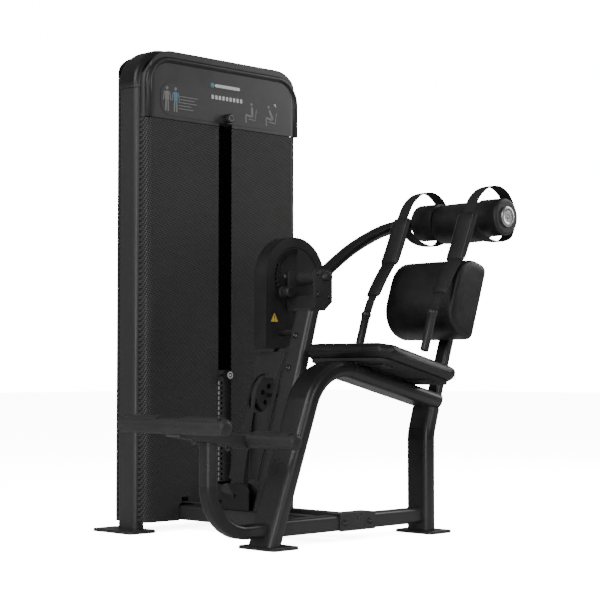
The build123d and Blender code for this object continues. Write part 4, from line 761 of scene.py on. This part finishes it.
for row in range(5):
    reach = (0.085, 0.070, 0.080, 0.055, 0.065)[row]
    level = 1.470 - row * 0.0105
    marks.append((f"note_bar_{row}", capsule(0.150, level, 0.150 + reach, level, 0.0014), PALE, PRINT))


def standing(prefix, x, torso):
    """A plain standing figure, made of bars and a disc."""
    z = 1.413
    return [
        (f"{prefix}_head", disc(x, z + 0.080, 0.0058), PALE, PRINT),
        (f"{prefix}_torso", round_rect(x - 0.0085, z + 0.038, x + 0.0085, z + 0.070, 0.004, 3), torso, PRINT),
        (f"{prefix}_arm_a", capsule(x - 0.012, z + 0.066, x - 0.016, z + 0.040, 0.0021), PALE, PRINT),
        (f"{prefix}_arm_b", capsule(x + 0.012, z + 0.066, x + 0.016, z + 0.040, 0.0021), PALE, PRINT),
        (f"{prefix}_leg_a", capsule(x - 0.0045, z + 0.035, x - 0.0055, z + 0.004, 0.0030), PALE, PRINT),
        (f"{prefix}_leg_b", capsule(x + 0.0045, z + 0.035, x + 0.0055, z + 0.004, 0.0030), PALE, PRINT),
    ]


def seated(prefix, x, lean):
    """A plain seated figure on a seat line, leaning by lean."""
    z = 1.420
    return [
        (f"{prefix}_head", disc(x + 0.010 - lean, z + 0.062, 0.0056), PALE, PRINT),
        (f"{prefix}_torso", capsule(x + 0.014, z + 0.022, x + 0.012 - lean * 0.8, z + 0.048, 0.0050), PALE,
         PRINT),
        (f"{prefix}_thigh", capsule(x + 0.010, z + 0.018, x - 0.016, z + 0.022, 0.0038), PALE, PRINT),
        (f"{prefix}_shin", capsule(x - 0.018, z + 0.018, x - 0.016, z - 0.004, 0.0030), PALE, PRINT),
        (f"{prefix}_seat", capsule(x - 0.004, z + 0.009, x + 0.028, z + 0.006, 0.0018), PALE, PRINT),
        (f"{prefix}_rest", capsule(x + 0.028, z + 0.012, x + 0.034, z + 0.044, 0.0018), PALE, PRINT),
    ]


marks += standing("figure_a", 0.098, PALE) + standing("figure_b", 0.136, BLUE)
marks += seated("figure_c", 0.480, 0.0) + seated("figure_d", 0.580, 0.016)
marks += [("move_arrow", [(0.600, 1.494), (0.612, 1.484), (0.609, 1.497)], WHITE, PRINT)]
for mark_name, outline, mat, front in marks:
    slab(mark_name, outline, 0.0004, mat, front)


# ---------------------------------------------------------------- rings, labels and numbers
def flat_ring(name, centre, inner, outer, thickness, mat, body, direction=(0, -1, 0)):
    profile = [(inner, 0), (outer, 0), (outer, thickness), (inner, thickness), (inner, 0)]
    return lathe(name, profile, axis_frame(centre, direction), mat, body, 40)


PIN_Z = 0.15325 + 20 * 0.0175 + 0.018
flat_ring("pin_ring", (MID_X, Y0 - 0.066, PIN_Z), 0.0085, 0.0125, 0.0005, WHITE, "selector_pin")
flat_ring("pin_cap", (MID_X, Y0 - 0.066, PIN_Z), 0.0, 0.0040, 0.0005, WHITE, "selector_pin")
flat_ring("addon_ring", (MID_X, Y0 - 0.070, 1.416), 0.0085, 0.0115, 0.0005, PALE, "addon_knob")
for index in range(20):
    z = 0.15325 + index * 0.0175 + 0.0086
    bm = bmesh.new()
    made = bmesh.ops.create_cube(bm, size=1.0)["verts"]
    bmesh.ops.scale(bm, vec=(0.030, 0.0006, 0.0115), verts=made)
    bmesh.ops.translate(bm, vec=(MID_X - 0.0265, Y0 - 0.0223, z), verts=made)
    make_object(f"weight_tag_{index:02d}", bm, WHITE, "frame", smooth=False)
    digits = bpy.data.curves.new(f"weight_number_{index:02d}", "FONT")
    digits.body = str((20 - index) * 5 + 5)
    digits.size = 0.0115
    digits.align_x, digits.align_y = "CENTER", "CENTER"
    digits.extrude = 0.0001
    number = bpy.data.objects.new(f"weight_number_{index:02d}", digits)
    bpy.context.scene.collection.objects.link(number)
    number.rotation_euler = (math.pi / 2, 0, 0)
    number.location = (MID_X - 0.0265, Y0 - 0.0228, z)
    digits.materials.append(PLATE)
    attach(number, "frame")

# warning triangle on the cover's tail: generic exclamation mark
COVER_NEAR = Y0 - 0.308
tri = (0.345, 0.713)
triangle = [(tri[0] - 0.017, tri[1] - 0.012), (tri[0] + 0.017, tri[1] - 0.012), (tri[0], tri[1] + 0.018)]
slab("warning_triangle", triangle, 0.0005, YELLOW, COVER_NEAR)
slab("warning_bar", capsule(tri[0], tri[1] + 0.008, tri[0], tri[1] - 0.002, 0.0014), 0.0003, PLATE,
     COVER_NEAR - 0.0005)
slab("warning_dot", disc(tri[0], tri[1] - 0.007, 0.0015), 0.0003, PLATE, COVER_NEAR - 0.0005)
flat_ring("start_mark", (HUB.x - 0.050, COVER_NEAR + 0.0008, HUB.z + 0.006), 0.0035, 0.0048, 0.0003, WHITE,
          "start_disc")


# ---------------------------------------------------------------- bolts, caps and covers
def button_bolt(name, origin, direction, radius, mat, body, height=0.55):
    """A button head with a round socket recess."""
    h = radius * height
    profile = [(0.0, h * 0.45), (radius * 0.42, h * 0.45), (radius * 0.45, h)]
    for k in range(7):
        a = math.radians(80 - 80 * k / 6)
        profile.append((radius * (0.45 + 0.55 * math.cos(a)), h * (0.30 + 0.70 * math.sin(a))))
    profile.append((radius, 0.0))
    return lathe(name, profile, axis_frame(origin, direction), mat, body, 28)


def dome_nut(name, origin, direction, radius, mat, body):
    profile = [(0.0, radius * 1.5)]
    for k in range(1, 8):
        a = math.radians(90 - 90 * k / 7)
        profile.append((radius * 0.82 * math.cos(a), radius * 0.7 + radius * 0.8 * math.sin(a)))
    profile += [(radius, radius * 0.68), (radius * 1.05, radius * 0.12), (radius * 1.25, radius * 0.08),
                (radius * 1.25, 0.0)]
    return lathe(name, profile, axis_frame(origin, direction), mat, body, 24)


column_lean = math.radians(16.96)
column_normal = (-math.cos(column_lean), 0, math.sin(column_lean))
for index, z in enumerate((0.545, 0.652)):
    face_x = X0 + 0.343 + (z - 0.639) * math.tan(column_lean)
    button_bolt(f"column_bolt_{index}", (face_x - 0.0003, Y0 - 0.407, z), column_normal,
                                  0.0105, ZINC, "frame")
for index, x in enumerate((0.285, 0.402)):
    dome_nut(f"coupler_bolt_{index}", (X0 + x, SEAT_Y - 0.0296, 0.059), (0, -1, 0),
                               0.0085, ZINC, "frame")
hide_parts("frame_bolts")
dome_nut("footrest_nut_front", (X0 - 0.316, SEAT_Y, 0.336), (-0.17, 0, -1), 0.010, ZINC, "frame")
dome_nut("footrest_nut_rear", (X0 - 0.186, SEAT_Y, 0.313), (-0.17, 0, -1), 0.010, ZINC, "frame")
button_bolt("axle_bolt", (X0 + 0.162, Y0 - 0.300, 0.130), (-1, 0, 0), 0.012, ZINC, "frame")
for index, (dx, dz) in enumerate(((-0.040, 0.010), (-0.040, -0.060), (0.012, -0.066))):
    button_bolt(f"yoke_bolt_{index}", (HUB.x + dx, Y0 - 0.4553, HUB.z + dz), (0, -1, 0), 0.0085, ZINC,
                "frame")
lathe("hub_cap", [(0.0, 0.0075), (0.012, 0.0072), (0.0165, 0.005), (0.018, 0.0), (0.018, -0.0008)],
      axis_frame((HUB.x, Y0 - 0.4615, HUB.z), (0, -1, 0)), COVER, "arm", 36)
for end, y in (("near", SEAT_Y - 0.225), ("far", SEAT_Y + 0.225)):
    for place, (x, z) in (("front", (-0.400, 0.3785)), ("rear", (-0.125, 0.331))):
        outward = (0, -1, 0) if end == "near" else (0, 1, 0)
        lathe(f"bar_cap_{place}_{end}", [(0.0, 0.0045), (0.010, 0.0042), (0.0175, 0.0028), (0.0205, 0.0),
                                         (0.0205, -0.0006)],
              axis_frame((X0 + x, y, z), outward), COVER, "frame", 40)
# ribs on the tread strips
for index, (x, z) in enumerate(((-0.400, 0.3785), (-0.125, 0.331))):
    for side, dy in (("near", -0.132), ("far", 0.132)):
        bm = bmesh.new()
        for k in range(15):
            for a in range(-5, 6):
                angle = math.radians(a * 6.0)
                n = Vector((math.sin(angle), 0, math.cos(angle)))
                p = Vector((X0 + x, SEAT_Y + dy - 0.069 + k * 0.0098, z)) + n * 0.0286
                m = axis_frame(p, n, (0, 1, 0))
                made = bmesh.ops.create_cone(bm, cap_ends=True, segments=8, radius1=0.0013, radius2=0.0008,
                                             depth=0.0014)["verts"]
                bmesh.ops.transform(bm, matrix=m, verts=made)
        make_object(f"tread_studs_{index}_{side}", bm, RUBBER, "frame")
# silver disc on the roll's near end: raised rim and a plain recessed mark
lathe("disc_rim", [(0.020, 0.0), (0.0215, 0.0010), (0.030, 0.0013), (0.0325, 0.0005), (0.033, 0.0)],
      axis_frame((ROLL.x, Y0 - 0.8543, ROLL.z), (0, -1, 0)), DISC, "arm", 48)
flat_ring("disc_mark", (ROLL.x, Y0 - 0.8543, ROLL.z), 0.006, 0.0085, 0.0004, PALE, "arm")
